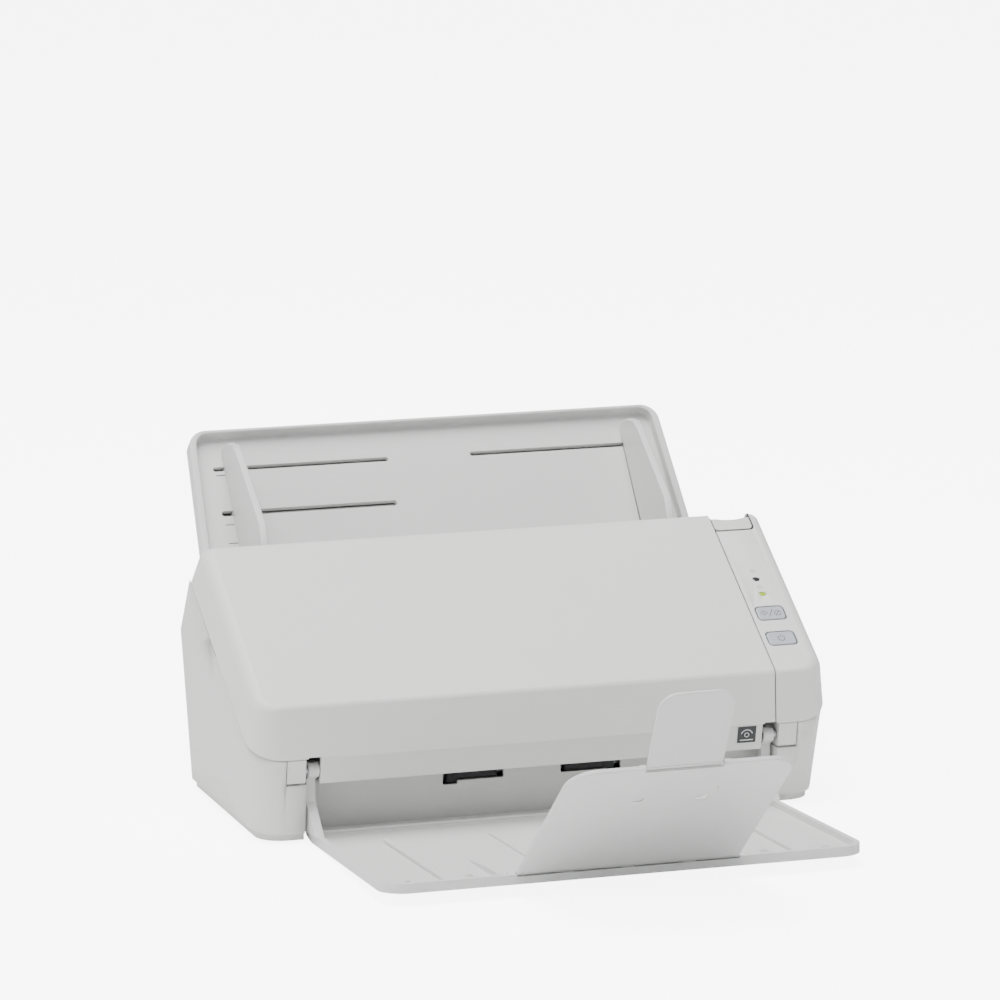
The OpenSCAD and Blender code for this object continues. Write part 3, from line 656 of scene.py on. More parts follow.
class Repeat:
    """Geometry Nodes tree that sets blocks or drums along a line or round an axis."""

    def __init__(self, name: str, ring: bool, drum: bool) -> None:
        """Builds the tree.

        Args:
            name: the tree's name.
            ring: True for copies round X, False for copies in a line.
            drum: True for short drums standing on Z, False for blocks.
        """
        self.tree = bpy.data.node_groups.new(name, "GeometryNodeTree")
        self.sockets: dict[str, str] = {}
        wanted = {"Count": "NodeSocketInt", "Start": "NodeSocketVector", "Step": "NodeSocketVector",
                  "Size": "NodeSocketVector", "Radius": "NodeSocketFloat", "Finish": "NodeSocketMaterial"}
        for key, kind in wanted.items():
            made = self.tree.interface.new_socket(name=key, in_out="INPUT", socket_type=kind)
            self.sockets[key] = made.identifier
        self.tree.interface.new_socket(name="Geometry", in_out="OUTPUT", socket_type="NodeSocketGeometry")
        inputs = self._node("NodeGroupInput")
        part = self._drum(inputs) if drum else self._block(inputs)
        points = self._ring(inputs) if ring else self._line(inputs)
        stand = self._node("GeometryNodeInstanceOnPoints")
        self._link(points, 0, stand, "Points")
        self._link(part, 0, stand, "Instance")
        if ring:
            self._face_outwards(stand)
        real = self._node("GeometryNodeRealizeInstances")
        self._link(stand, 0, real, 0)
        last: bpy.types.Node = real
        if ring:
            last = self._node("GeometryNodeTransform")
            self._link(real, 0, last, "Geometry")
            self._link(inputs, "Start", last, "Translation")
        paint = self._node("GeometryNodeSetMaterial")
        self._link(last, 0, paint, "Geometry")
        self._link(inputs, "Finish", paint, "Material")
        self._link(paint, 0, self._node("NodeGroupOutput"), 0)

    def _node(self, kind: str, **settings: Any) -> bpy.types.Node:
        """Adds a node with its settings."""
        made = self.tree.nodes.new(kind)
        for key, value in settings.items():
            setattr(made, key, value)
        return made

    def _link(self, first: bpy.types.Node, output: Any, second: bpy.types.Node, into: Any) -> None:
        """Links two nodes."""
        self.tree.links.new(first.outputs[output], second.inputs[into])

    def _block(self, inputs: bpy.types.Node) -> bpy.types.Node:
        """Box of the wanted size."""
        made = self._node("GeometryNodeMeshCube")
        self._link(inputs, "Size", made, "Size")
        return made

    def _drum(self, inputs: bpy.types.Node) -> bpy.types.Node:
        """Short drum whose radius is the size's X and whose height is its Z."""
        split = self._node("ShaderNodeSeparateXYZ")
        self._link(inputs, "Size", split, 0)
        made = self._node("GeometryNodeMeshCylinder")
        made.inputs["Vertices"].default_value = 20
        self._link(split, "X", made, "Radius")
        self._link(split, "Z", made, "Depth")
        return made

    def _line(self, inputs: bpy.types.Node) -> bpy.types.Node:
        """Points from the start, one step apart."""
        made = self._node("GeometryNodeMeshLine", mode="OFFSET")
        self._link(inputs, "Count", made, "Count")
        self._link(inputs, "Start", made, "Start Location")
        self._link(inputs, "Step", made, "Offset")
        return made

    def _ring(self, inputs: bpy.types.Node) -> bpy.types.Node:
        """Points round X at the wanted radius."""
        made = self._node("GeometryNodeMeshLine", mode="OFFSET")
        self._link(inputs, "Count", made, "Count")
        made.inputs["Offset"].default_value = (0, 0, 0)
        index = self._node("GeometryNodeInputIndex")
        turn = self._node("ShaderNodeMath", operation="DIVIDE")
        self._link(index, 0, turn, 0)
        self._link(inputs, "Count", turn, 1)
        angle = self._node("ShaderNodeMath", operation="MULTIPLY")
        self._link(turn, 0, angle, 0)
        angle.inputs[1].default_value = 2 * math.pi
        self.angle = angle
        place = self._node("ShaderNodeCombineXYZ")
        for operation, axis in (("COSINE", "Y"), ("SINE", "Z")):
            part = self._node("ShaderNodeMath", operation=operation)
            self._link(angle, 0, part, 0)
            scaled = self._node("ShaderNodeMath", operation="MULTIPLY")
            self._link(part, 0, scaled, 0)
            self._link(inputs, "Radius", scaled, 1)
            self._link(scaled, 0, place, axis)
        put = self._node("GeometryNodeSetPosition")
        self._link(made, 0, put, "Geometry")
        self._link(place, 0, put, "Position")
        return put

    def _face_outwards(self, stand: bpy.types.Node) -> None:
        """Turns each copy about X by its own angle."""
        turn = self._node("ShaderNodeCombineXYZ")
        self._link(self.angle, 0, turn, "X")
        self._link(turn, 0, stand, "Rotation")

    def make(self, name: str, finish: Finish, place: Matrix = BODY, **values: Any) -> bpy.types.Object:
        """Runs the tree and returns its result as a plain mesh.

        Args:
            name: the new object's name.
            finish: the copies' finish.
            place: matrix into the machine's own frame.
            values: the tree's inputs by name, in millimetres.

        Returns:
            The object, in millimetres.
        """
        carrier = new_object(name, bpy.data.meshes.new(name))
        modifier = carrier.modifiers.new("repeat", "NODES")
        modifier.node_group = self.tree
        modifier[self.sockets["Finish"]] = material_of(finish)
        for key, value in values.items():
            modifier[self.sockets[key]] = value
        settle(carrier)
        carrier.data.transform(place)
        return carrier


BLOCK_ROW = Repeat("block_row", ring=False, drum=False)
DRUM_ROW = Repeat("drum_row", ring=False, drum=True)
BLOCK_RING = Repeat("block_ring", ring=True, drum=False)


# ---------------------------------------------------------------- studio

@dataclass
class Studio:
    """Floor, light and the camera at its viewing angle."""

    eye: tuple[float, float, float] = (-886.907, -2768.504, 715.47)
    azimuth: float = -17.734
    elevation: float = 10.997
    roll: float = -0.222
    lens_mm: float = 215.15

    def camera(self) -> None:
        """Makes the camera and sets it as the scene's."""
        data = bpy.data.cameras.new("camera")
        data.lens = self.lens_mm
        data.sensor_width = 36.0
        data.clip_end = 50.0
        made = bpy.data.objects.new("camera", data)
        bpy.context.scene.collection.objects.link(made)
        azimuth, elevation = math.radians(self.azimuth), math.radians(self.elevation)
        ahead = Vector((-math.sin(azimuth) * math.cos(elevation), math.cos(azimuth) * math.cos(elevation),
                        -math.sin(elevation)))
        right = Vector((math.cos(azimuth), math.sin(azimuth), 0))
        up = right.cross(ahead)
        roll = math.radians(self.roll)
        across = right * math.cos(roll) + up * math.sin(roll)
        upward = up * math.cos(roll) - right * math.sin(roll)
        turn = Matrix((across, upward, -ahead)).transposed().to_4x4()
        made.matrix_world = Matrix.Translation(ROW @ Vector(self.eye)) @ turn
        bpy.context.scene.camera = made

    def _area(self, name: str, place: Point, size: float, power: float) -> None:
        """Square soft light that looks at the machine."""
        data = bpy.data.lights.new(name, "AREA")
        data.size = size
        data.energy = power
        made = bpy.data.objects.new(name, data)
        made.location = place
        aim = Vector((0, -0.05, 0.08)) - Vector(place)
        made.rotation_euler = aim.to_track_quat("-Z", "Y").to_euler()
        bpy.context.scene.collection.objects.link(made)

    def build(self) -> None:
        """Makes the lights, the world and the floor."""
        self._area("overhead", (-0.45, -0.2, 2.6), 2.0, 132)
        self._area("left_fill", (-2.8, -0.4, 1.2), 1.8, 24)
        self._area("right_fill", (2.4, -1.2, 1.1), 1.8, 6)
        world = bpy.data.worlds.new("studio_world")
        world.use_nodes = True
        world.node_tree.nodes["Background"].inputs["Color"].default_value = (0.95, 0.97, 1.0, 1.0)
        world.node_tree.nodes["Background"].inputs["Strength"].default_value = 0.42
        bpy.context.scene.world = world
        floor = solid("floor", [(-9, -9, 0), (9, -9, 0), (9, 9, 0), (-9, 9, 0)], [(0, 1, 2, 3)])
        floor.data.materials.append(material_of(Finish.FLOOR))


# ---------------------------------------------------------------- cover

@dataclass
class Cover:
    """Sloping lift-up cover with its front strip, hinge lugs and inner guide."""

    half_w: float = 149.0
    crease_half_w: float = 141.2
    length: float = 133.0
    height: float = 21.8
    lean: float = 14.7 / 21.8
    edge_r: float = 7.0
    front_r: float = 1.6
    rear_r: float = 6.0
    wall: float = 2.2
    split_x: float = 119.7
    gap: float = 0.3
    strip_half_w: float = 113.8

    @staticmethod
    def _inset(height: float, top: float, radius: float) -> float:
        """How far a rounded edge has come in at a height below its top."""
        rise = height - (top - radius)
        return 0.0 if rise <= 0 else radius - math.sqrt(max(0.0, radius * radius - rise * rise))

    def _ring(self, z: float, inward: float) -> list[Point]:
        """Outline of the slab at a height, drawn in by a wall's thickness."""
        top = self.height - inward
        side = self._inset(z, top, self.edge_r)
        flare = 2.0 * max(0.0, 1 - z / (self.height - self.edge_r))
        half = self.crease_half_w + self.edge_r - 1.2 + flare - side - inward
        front = max(z, 0) * self.lean + self._inset(z, top, self.front_r) + inward
        rear = self.length - self._inset(z, top, self.rear_r) - inward
        corner = 17 - 5 * max(z, 0) / self.height - min(side, 5.5) * 0.6
        radii = (corner, corner, 5.0, 5.0)
        return [(x, y, z) for x, y in rounded((-half, front), (half, rear), radii, 10)]

    def shell(self, name: str) -> bpy.types.Object:
        """The whole cover as a thin shell, open below."""
        outer = lofted(name, self._levels(0.0, 0.0), SLAB)
        return cut(outer, lofted("hollow", self._levels(self.wall, -1.0), SLAB))

    def _levels(self, inward: float, low: float) -> list[list[Point]]:
        """Rings of the slab from its foot to its top, drawn in by a wall's thickness."""
        top = self.height - inward
        turns = [self.edge_r * (1 - math.sin(math.radians(a))) for a in range(0, 91, 10)]
        turns += [self.front_r * (1 - math.sin(math.radians(a))) for a in range(0, 76, 25)]
        heights = sorted({round(top - t, 4) for t in turns} | {low})
        return [self._ring(z, inward) for z in heights]

    def _seam_shade_backing(self) -> None:
        """Dark strip inside the joint between the cover's two mouldings, painted shade that makes the gap look
        dark.
        """
        backing_shade = lofted("seam_painted_shade", self._levels(1.0, 0.5), SLAB)
        cut(backing_shade, lofted("hollow", self._levels(2.1, -1.0), SLAB),
            cuboid("slot", (110, -90, 20), (130, -40, 45)))
        combine(backing_shade, "INTERSECT", cuboid("strip", (118.9, -90, -20), (120.5, 45, 190)))
        publish(shaded(backing_shade, 30), Finish.DARK, "cover", "dark")

    def _front_strip(self) -> bpy.types.Object:
        """Inclined strip over the paper exit."""
        profile = [(-66.9, 47.0), (-66.7, 44.6), (-63.7, 30.1), (-63.2, 29.6), (-62.2, 29.5), (-61.6, 30.0),
                   (-62.6, 36.0), (-64.6, 47.0)]
        return slice_x("strip", profile, -self.strip_half_w, self.strip_half_w - 0.6)

    def _arm_slots(self) -> list[bpy.types.Object]:
        """Slots over the stacker's arms."""
        spans = [span(side, self.strip_half_w, 120.4) for side in (1, -1)]
        return [cuboid("slot", (low, -90, 25), (high, -55, 43.7)) for low, high in spans]

    def build(self) -> None:
        """Makes the cover's own pieces."""
        half = cuboid("half", (-170, -90, -20), (self.split_x - self.gap, 120, 190))
        top = combine(self.shell("top_cover_skin"), "INTERSECT", half)
        weld(top, self._front_strip())
        cut(top, *self._arm_slots())
        publish(eased(top, 0.3), Finish.SHELL, "cover", "shell", "top_cover")
        # Painted shade: a dark strip inside the seam between the cover's two mouldings.
        self._seam_shade_backing()
        softened("hinge_lugs", Finish.SHELL, "cover", "shell", 0.6)
        softened("upper_guide", Finish.INNER, "cover", "inner")
        softened("cover_brackets", Finish.DARK, "cover", "dark")
        softened("upper_sensor", Finish.DARK, "cover", "dark")
        softened("upper_glass", Finish.GLASS, "cover", "glass", 0.15)


@dataclass
class OperatorPanel:
    """Right end of the cover: keys, lights, printed marks and the release tab."""

    centre_x: float = 130.0
    crease_s: float = 14.7
    top: float = 21.8
    scan_s: float = 41.0
    power_s: float = 22.7
    lights: tuple[float, float] = (66.0, 55.1)
    key_size: tuple[float, float] = (14.3, 9.2)
    cover: Cover = field(default_factory=Cover)

    def _at(self, s: float) -> Matrix:
        """Frame on the panel's face at a distance up the slope from the crease."""
        return SLAB @ Matrix.Translation((self.centre_x, s + self.crease_s, self.top))

    def _key_outline(self, grow: float) -> Outline:
        """Rounded outline of a key, grown all round."""
        half_w, half_l = self.key_size[0] / 2 + grow, self.key_size[1] / 2 + grow
        return rounded((-half_w, -half_l), (half_w, half_l), (2 + grow,) * 4, 6)

    def _light_outline(self, grow: float) -> Outline:
        """Oval outline of a light window."""
        return rounded((-1.75 - grow, -1.3 - grow), (1.75 + grow, 1.3 + grow), (1.25 + grow,) * 4, 6)

    def _face(self) -> None:
        """Panel cover with its openings, and dark pieces under its gaps that paint shade there."""
        cover = self.cover
        half = cuboid("half", (cover.split_x + cover.gap, -90, -20), (170, 120, 190))
        panel = combine(cover.shell("panel_cover_skin"), "INTERSECT", half)
        tools = [cuboid("slot", (118, -90, 25), (120.4, -55, 43.7))]
        tools += [prism("well", self._key_outline(0.62), -6, 3, self._at(s))
                  for s in (self.scan_s, self.power_s)]
        tools += [prism("window", self._light_outline(0.22), -6, 3, self._at(s)) for s in self.lights]
        notch = rounded((118.6, 117.0), (140.9, 140), (2.9, 2.9, 0.1, 0.1), 6)
        tools.append(prism("notch", notch, 14, 30, SLAB))
        cut(panel, *tools)
        publish(eased(panel, 0.22), Finish.SHELL, "cover", "shell", "panel_cover")
        # Painted shade: a dark floor under the release tab's well, so that the gap round the tab looks dark.
        well_floor_shade = slice_x("tab_well_shade", [(116.9, 12.2), (131.2, 12.2), (131.2, 13.6), (116.9, 13.6)],
                       120.1, 125.2, SLAB)
        publish(eased(well_floor_shade, 0.2), Finish.DARK, "cover", "dark")
        # Painted shade: dark rings just under the panel's face round each key, so that the gaps round the keys
        # look dark.
        for s, name in ((self.scan_s, "scan_key_well_shade"), (self.power_s, "power_key_well_shade")):
            key_gap_shade = prism(name, self._key_outline(0.6), -2.6, -0.3, self._at(s))
            cut(key_gap_shade, prism("opening", self._key_outline(0.16), -4, 1, self._at(s)))
            publish(shaded(key_gap_shade, 30), Finish.DARK, "cover", "dark")
        # Painted shade: a dark U-shaped rim just under the face round the release tab, in the tab's gap.
        rim = rounded((118.7, 117.1), (140.8, 131), (2.8, 2.8, 0.1, 0.1), 6)
        tab_rim_shade = prism("tab_gap_shade", rim, 19.0, 21.25, SLAB)
        opening = rounded((119.55, 117.75), (140.2, 140), (2.3, 2.3, 0.1, 0.1), 6)
        cut(tab_rim_shade, prism("opening", opening, 10, 30, SLAB),
            cuboid("rear", (110, 129.5, 0), (150, 140, 30), SLAB))
        publish(shaded(tab_rim_shade, 30), Finish.DARK, "cover", "dark")

    def _key(self, s: float, name: str, node: str, body: str) -> None:
        """One key with a soft edge and a slightly dished top."""
        rings = []
        levels = ((-4.0, 0.0), (-0.35, 0.0), (0.02, 0.1), (0.2, 0.32), (0.28, 0.65), (0.22, 1.4), (0.12, 2.6))
        for z, shrink in levels:
            outline = rounded((-self.key_size[0] / 2 + shrink, -self.key_size[1] / 2 + shrink),
                              (self.key_size[0] / 2 - shrink, self.key_size[1] / 2 - shrink),
                              (max(2 - shrink * 0.5, 0.6),) * 4, 6)
            rings.append([(x, y, z) for x, y in outline])
        key = lofted(name, rings, self._at(s))
        weld(key, cuboid("stem", (-3, -2, -7), (3, 2, -3.8), self._at(s)))
        key.data.shade_smooth()
        key.data.set_sharp_from_angle(angle=math.radians(40))
        publish(key, Finish.KEY, body, "button", node)

    def _stroke(self, name: str, path: Outline, width: float, place: Matrix, height: float,
                closed: bool = False) -> bpy.types.Object:
        """Printed line of a given width along a path."""
        count = len(path)
        left: Outline = []
        right: Outline = []
        for i, point in enumerate(path):
            before = Vector(path[(i - 1) % count] if closed or i else path[0])
            after = Vector(path[(i + 1) % count] if closed or i < count - 1 else path[-1])
            way = (after - before).normalized()
            side = Vector((-way.y, way.x)) * width / 2
            left.append((point[0] + side.x, point[1] + side.y))
            right.append((point[0] - side.x, point[1] - side.y))
        points = [(x, y, z) for z in (height - 0.04, height) for line in (left, right) for x, y in line]
        faces = []
        for i in range(count if closed else count - 1):
            j = (i + 1) % count
            for low, high in ((0, count), (2 * count, 3 * count)):
                faces.append([low + i, low + j, high + j, high + i])
            faces.append([i, j, 2 * count + j, 2 * count + i])
            faces.append([count + i, count + j, 3 * count + j, 3 * count + i])
        if not closed:
            for i in (0, count - 1):
                faces.append([i, count + i, 3 * count + i, 2 * count + i])
        return solid(name, points, faces, place)

    def _print(self, name: str, strokes: list[bpy.types.Object], finish: Finish, body: str, slot: str) -> None:
        """Joins strokes into one printed mark."""
        first, *rest = strokes
        shape = bmesh.new()
        for stroke in strokes:
            shape.from_mesh(stroke.data)
        shape.to_mesh(first.data)
        shape.free()
        for stroke in rest:
            bpy.data.objects.remove(stroke)
        first.name = name
        publish(first, finish, body, slot)

    def _marks(self) -> None:
        """Power sign, start and stop signs, and the small signs by the lights."""
        power = self._at(self.power_s)
        ring = arc((0, 0), 1.75, 125, 415, 28)
        self._print("power_sign", [self._stroke("a", ring, 0.42, power, 0.18),
                                   self._stroke("b", [(0, 0.3), (0, 2.3)], 0.42, power, 0.18)],
                    Finish.PRINT, "power_key", "button")
        scan = self._at(self.scan_s)
        diamond = [(-5.3, 0.4), (-3.4, 2.2), (-1.5, 0.4), (-3.4, -1.4)]
        bar = [(-3.4, -0.5), (-3.4, 1.3)]
        slash = [(-1.4, -2.6), (1.5, 2.7)]
        page = arc((3.6, -0.3), 1.7, 0, 348, 22)
        cross = [(2.5, -1.4), (4.7, 0.8)]
        self._print("scan_sign", [self._stroke("a", diamond, 0.36, scan, 0.18, True),
                                  self._stroke("b", bar, 0.36, scan, 0.18),
                                  self._stroke("c", slash, 0.4, scan, 0.18),
                                  self._stroke("d", page, 0.36, scan, 0.18, True),
                                  self._stroke("e", cross, 0.36, scan, 0.18)],
                    Finish.PRINT, "scan_key", "button")
        warn = self._at(71.9)
        lit = self._at(60.2)
        self._print("light_signs", [self._stroke("a", arc((0, 0), 1.15, 0, 340, 18), 0.3, warn, 0.02, True),
                                    self._stroke("b", [(0, -0.4), (0, 0.75)], 0.3, warn, 0.02),
                                    self._stroke("c", arc((0, 0), 1.1, 120, 420, 18), 0.3, lit, 0.02),
                                    self._stroke("d", [(0, 0.2), (0, 1.5)], 0.3, lit, 0.02)],
                    Finish.PALE_PRINT, "cover", "shell")

    def _lenses(self) -> None:
        """Two light windows; the lower one is lit."""
        lenses = ((Finish.LENS_OFF, "alert_lens"), (Finish.LENS_ON, "ready_lens"))
        for s, (finish, name) in zip(self.lights, lenses):
            rings = [[(x, y, z) for x, y in self._light_outline(-shrink)]
                     for z, shrink in ((-3.0, 0.0), (-0.25, 0.0), (-0.08, 0.2), (0.0, 0.6))]
            lens = lofted(name, rings, self._at(s))
            lens.data.shade_smooth()
            lens.data.set_sharp_from_angle(angle=math.radians(50))
            nodes = ("status_lenses",) if name == "alert_lens" else ()
            publish(lens, finish, "cover", "lens", *nodes)

    def _tab(self) -> None:
        """Release tab with a hollowed rear edge, and its lever."""
        rear = arc((130.15, 152.3), 27.0, 250.6, 289.4, 16)
        front = rounded((119.95, 118.1), (139.85, 122), (2.2, 2.2, 0.1, 0.1), 6)
        outline = front[:14] + [(139.85, 126.4)] + rear[::-1][1:-1] + [(119.95, 126.4)]
        tab = prism("open_tab_skin", outline, 18.8, 21.8, SLAB)
        weld(tab, cuboid("lever", (126, 119.7, 6), (132, 125.7, 19.2), SLAB))
        cut(tab, rod_x("bore", (122.7, 9), 2.0, 100, 160, SLAB))
        publish(eased(tab, 0.45, 3), Finish.TAB, "release", "shell", "open_tab")
        softened("latch_bar", Finish.STEEL, "release", "steel", 0.2)

    def build(self) -> None:
        """Makes the panel and all that is on it."""
        self._face()
        self._key(self.scan_s, "scan_key_cap", "scan_button", "scan_key")
        self._key(self.power_s, "power_key_cap", "power_button", "power_key")
        self._lenses()
        self._marks()
        self._tab()
        profile = [(-66.5, 42.2), (-64.75, 33.7), (-64.6, 33.7), (-66.3, 42.2)]
        label = slice_x("strip_label_skin", profile, 100.2, 109.8)
        publish(label, Finish.DARK, "cover", "dark", "strip_label")
        face = Matrix.Translation((105, -65.63, 37.95)) @ turn_x(101.64)
        self._print("label_sign", [self._stroke("a", arc((0, -0.6), 3.1, 20, 160, 18), 0.4, face, 0.03),
                                   self._stroke("b", arc((0, -0.2), 1.1, 0, 340, 16), 0.35, face, 0.03, True),
                                   self._stroke("c", [(-3.4, -2.9), (3.4, -2.9)], 0.5, face, 0.03)],
                    Finish.SHELL, "cover", "dark")


# ---------------------------------------------------------------- base

@dataclass
class Base:
    """Outer shell of the base with its columns, inlet and sockets."""

    half_w: float = 149.0
    foot_half_w: float = 144.0
    front_y: float = FRONT_Y
    foot_front_y: float = -61.6
    rear_y: float = 67.4
    foot_z: float = 1.5
    band_z: float = 5.0
    belt_z: float = BELT_Z
    seam: float = 0.6
    wall: float = 2.2
    bay_half_w: float = 121.2
    shoulder_y: float = 45.4
    shoulder_z: float = 111.6
    rear_rim_y: float = 67.4
    rear_rim_z: float = 77.6
    edge_steps: int = 12
    hollow_top_z: float = 150.0
    shares: tuple[float, ...] = (0.12, 0.3, 0.5, 0.7, 0.85, 1.0)

    def _rim_height(self, y: float) -> float:
        """Height of the base's upper rim at a depth."""
        belt = self.belt_z - self.seam / math.cos(math.radians(TILT))
        rising = belt + (y - self.front_y) * math.tan(math.radians(TILT))
        drop = self.shoulder_z - self.rear_rim_z
        falling = self.rear_rim_z + (self.rear_rim_y - y) * drop / (self.rear_rim_y - self.shoulder_y)
        return min(rising, falling)

    def _ring(self, share: float, inward: float, z: float | None = None) -> list[Point]:
        """Outline at a share of the way up from the foot to the rim."""
        half = self.foot_half_w + (self.half_w - self.foot_half_w) * share - inward
        front = self.foot_front_y + (self.front_y - self.foot_front_y) * share + inward
        rear = self.rear_y - inward
        corner = max(15 + 2 * share - inward, 2)
        outline = rounded((-half, front), (half, rear), (corner, corner, 3.5, 3.5), 10)
        added: Outline = []
        for i, (x, y) in enumerate(outline):
            added.append((x, y))
            nx, ny = outline[(i + 1) % len(outline)]
            if abs(ny - y) > 20:
                steps = [y + (ny - y) * k / self.edge_steps for k in range(1, self.edge_steps)]
                steps = sorted(set(steps + [self.shoulder_y]), reverse=ny < y)
                added += [(x + (nx - x) * (s - y) / (ny - y), s) for s in steps]
        made = []
        for x, y in added:
            top = self._rim_height(y)
            made.append((x, y, z if z is not None else self.foot_z + (top - self.foot_z) * share))
        return made

    def _outer(self) -> bpy.types.Object:
        """Closed outer form of the base, over its undercut foot."""
        rings = [self._ring(0.0, 1.7, self.foot_z), self._ring(0.03, 1.7, self.band_z - 0.4),
                 self._ring(0.04, 0.0, self.band_z)] + [self._ring(share, 0.0) for share in self.shares]
        return lofted("base_shell_skin", rings)

    def _hollow(self) -> bpy.types.Object:
        """Room inside the walls, which runs on up to a flat top above the rim."""
        rings = [self._ring(0.0, self.wall, self.foot_z - 1)]
        rings += [self._ring(share, self.wall) for share in self.shares]
        rings.append([(point[0], point[1], self.hollow_top_z) for point in rings[-1]])
        return lofted("hollow", rings)

    def _shell(self) -> None:
        """Outer shell."""
        shell = self._outer()
        hollow = self._hollow()
        cut(hollow, cuboid("front", (-123, -80, -5), (123, -47.5, 90)))
        for side in (-1, 1):
            low, high = span(side, 119, 133)
            cut(hollow, cuboid("well_wall", (low, -80, 28), (high, -46.5, 90)))
        cut(shell, hollow, cuboid("bay", (-self.bay_half_w, -80, -5), (self.bay_half_w, -40, 90)))
        for side in (-1, 1):
            low, high = span(side, 120.6, 131.5)
            cut(shell, cuboid("lug_well", (low, -80, 29.7), (high, -48, 90)))
            weld(shell, rod_x("boss", (HINGE_Y, HINGE_Z), 5, *span(side, 131.5, 136)))
            cut(shell, rod_x("pin_bore", (HINGE_Y, HINGE_Z), 2.02, *span(side, 129, 135)))
        cut(shell, cuboid("inlet", (-137, -14, -3.3), (137, 70, 60), CHUTE),
            cuboid("power", (96, 60, 12), (106, 80, 22)), cuboid("data", (74, 60, 12), (87, 80, 24)),
            prism("lock", rounded((50, 14), (53.2, 21), (0.8,) * 4, 4), 130, 160, UPRIGHT))
        shell = without_crumbs(eased(without_crumbs(shell), 0.5, 3))
        publish(shell, Finish.BASE, "base", "shell", "base_shell")

    def _exit_wall(self) -> None:
        """Front bay wall with its two roller windows."""
        profile = ([(-45.6, 1.5), (-45.6, 25.4)] + arc((-43.4, 25.4), 2.2, 170, 90, 5)
                   + [(-41.6, 27.4), (-41.6, 25.6), (-43.8, 24.6), (-43.8, 1.5)])
        wall = slice_x("exit_wall_skin", profile, -self.bay_half_w + 0.02, self.bay_half_w - 0.02)
        tools = []
        for side in (-1, 1):
            for name, inner, foot in (("window", 14.8, 21.3), ("notch", 38.5, 19.6)):
                low, high = span(side, inner, 46)
                tools.append(cuboid(name, (low, -60, foot), (high, -34, 40)))
            tools.append(rod_x("relief", EXIT_AXIS, 7.4, *span(side, 14.8, 46)))
        cut(wall, *tools)
        publish(eased(wall, 0.4), Finish.BASE, "base", "shell", "exit_wall")

    def _inlet_cheeks(self) -> None:
        """Sloping covers at both ends of the paper inlet, beside the chute's foot."""
        profile = [(46.4, 109.4), (66.6, 78.2), (66.6, 74.6), (46.4, 105.4)]
        for side, name in ((-1, "left_inlet_cheek"), (1, "right_inlet_cheek")):
            cheek = slice_x(name, profile, *span(side, 133.9, 146.6))
            publish(eased(cheek, 0.6, 3), Finish.BASE, "base", "shell")

    def _board_parts(self) -> None:
        """Small parts soldered to the main board."""
        rows = (
            (BLOCK_ROW, "board_resistors", Finish.DARK, 9, (2.0, 1.2, 0.8), (-4, 34, 7.95), 4.2),
            (BLOCK_ROW, "board_chip_legs", Finish.STEEL, 9, (0.7, 20.6, 0.5), (-28.2, 19, 7.8), 1.8),
            (DRUM_ROW, "board_capacitors", Finish.SOCKET, 4, (2.6, 0, 4.6), (46, -12, 9.8), 8))
        for row, name, finish, count, size, start, pitch in rows:
            piece = row.make(name, finish, BODY, Count=count, Size=size, Start=start, Step=(pitch, 0, 0))
            publish(eased(piece, 0.15), finish, "base", "board")

    def build(self) -> None:
        """Makes the base's pieces."""
        self._shell()
        self._exit_wall()
        self._inlet_cheeks()
        softened("bottom_plate", Finish.INNER, "base", "inner")
        softened("lower_guide", Finish.INNER, "base", "inner")
        softened("lower_sensor", Finish.DARK, "base", "dark")
        softened("lower_glass", Finish.GLASS, "base", "glass", 0.15)
        softened("left_side_frame", Finish.PLATE, "base", "dark", 0.2)
        softened("right_side_frame", Finish.PLATE, "base", "dark", 0.2)
        softened("main_board", Finish.BOARD, "base", "board", 0.15)
        self._board_parts()
        softened("motor_body", Finish.STEEL, "base", "steel", 0.8)
        softened("hinge_pins", Finish.STEEL, "base", "steel", 0.3)
        softened("power_jack", Finish.SOCKET, "base", "dark", 0.3)
        softened("usb_socket", Finish.PLATE, "base", "steel", 0.25)
        softened("rubber_feet", Finish.FOOT, "base", "rubber", 0.5)
        softened("base_screws", Finish.STEEL, "base", "steel", 0.25)
        softened("shaft_bushes", Finish.GEAR, "base", "gear", 0.2)
        softened("latch_keepers", Finish.PLATE, "base", "steel", 0.2)


# ---------------------------------------------------------------- chute

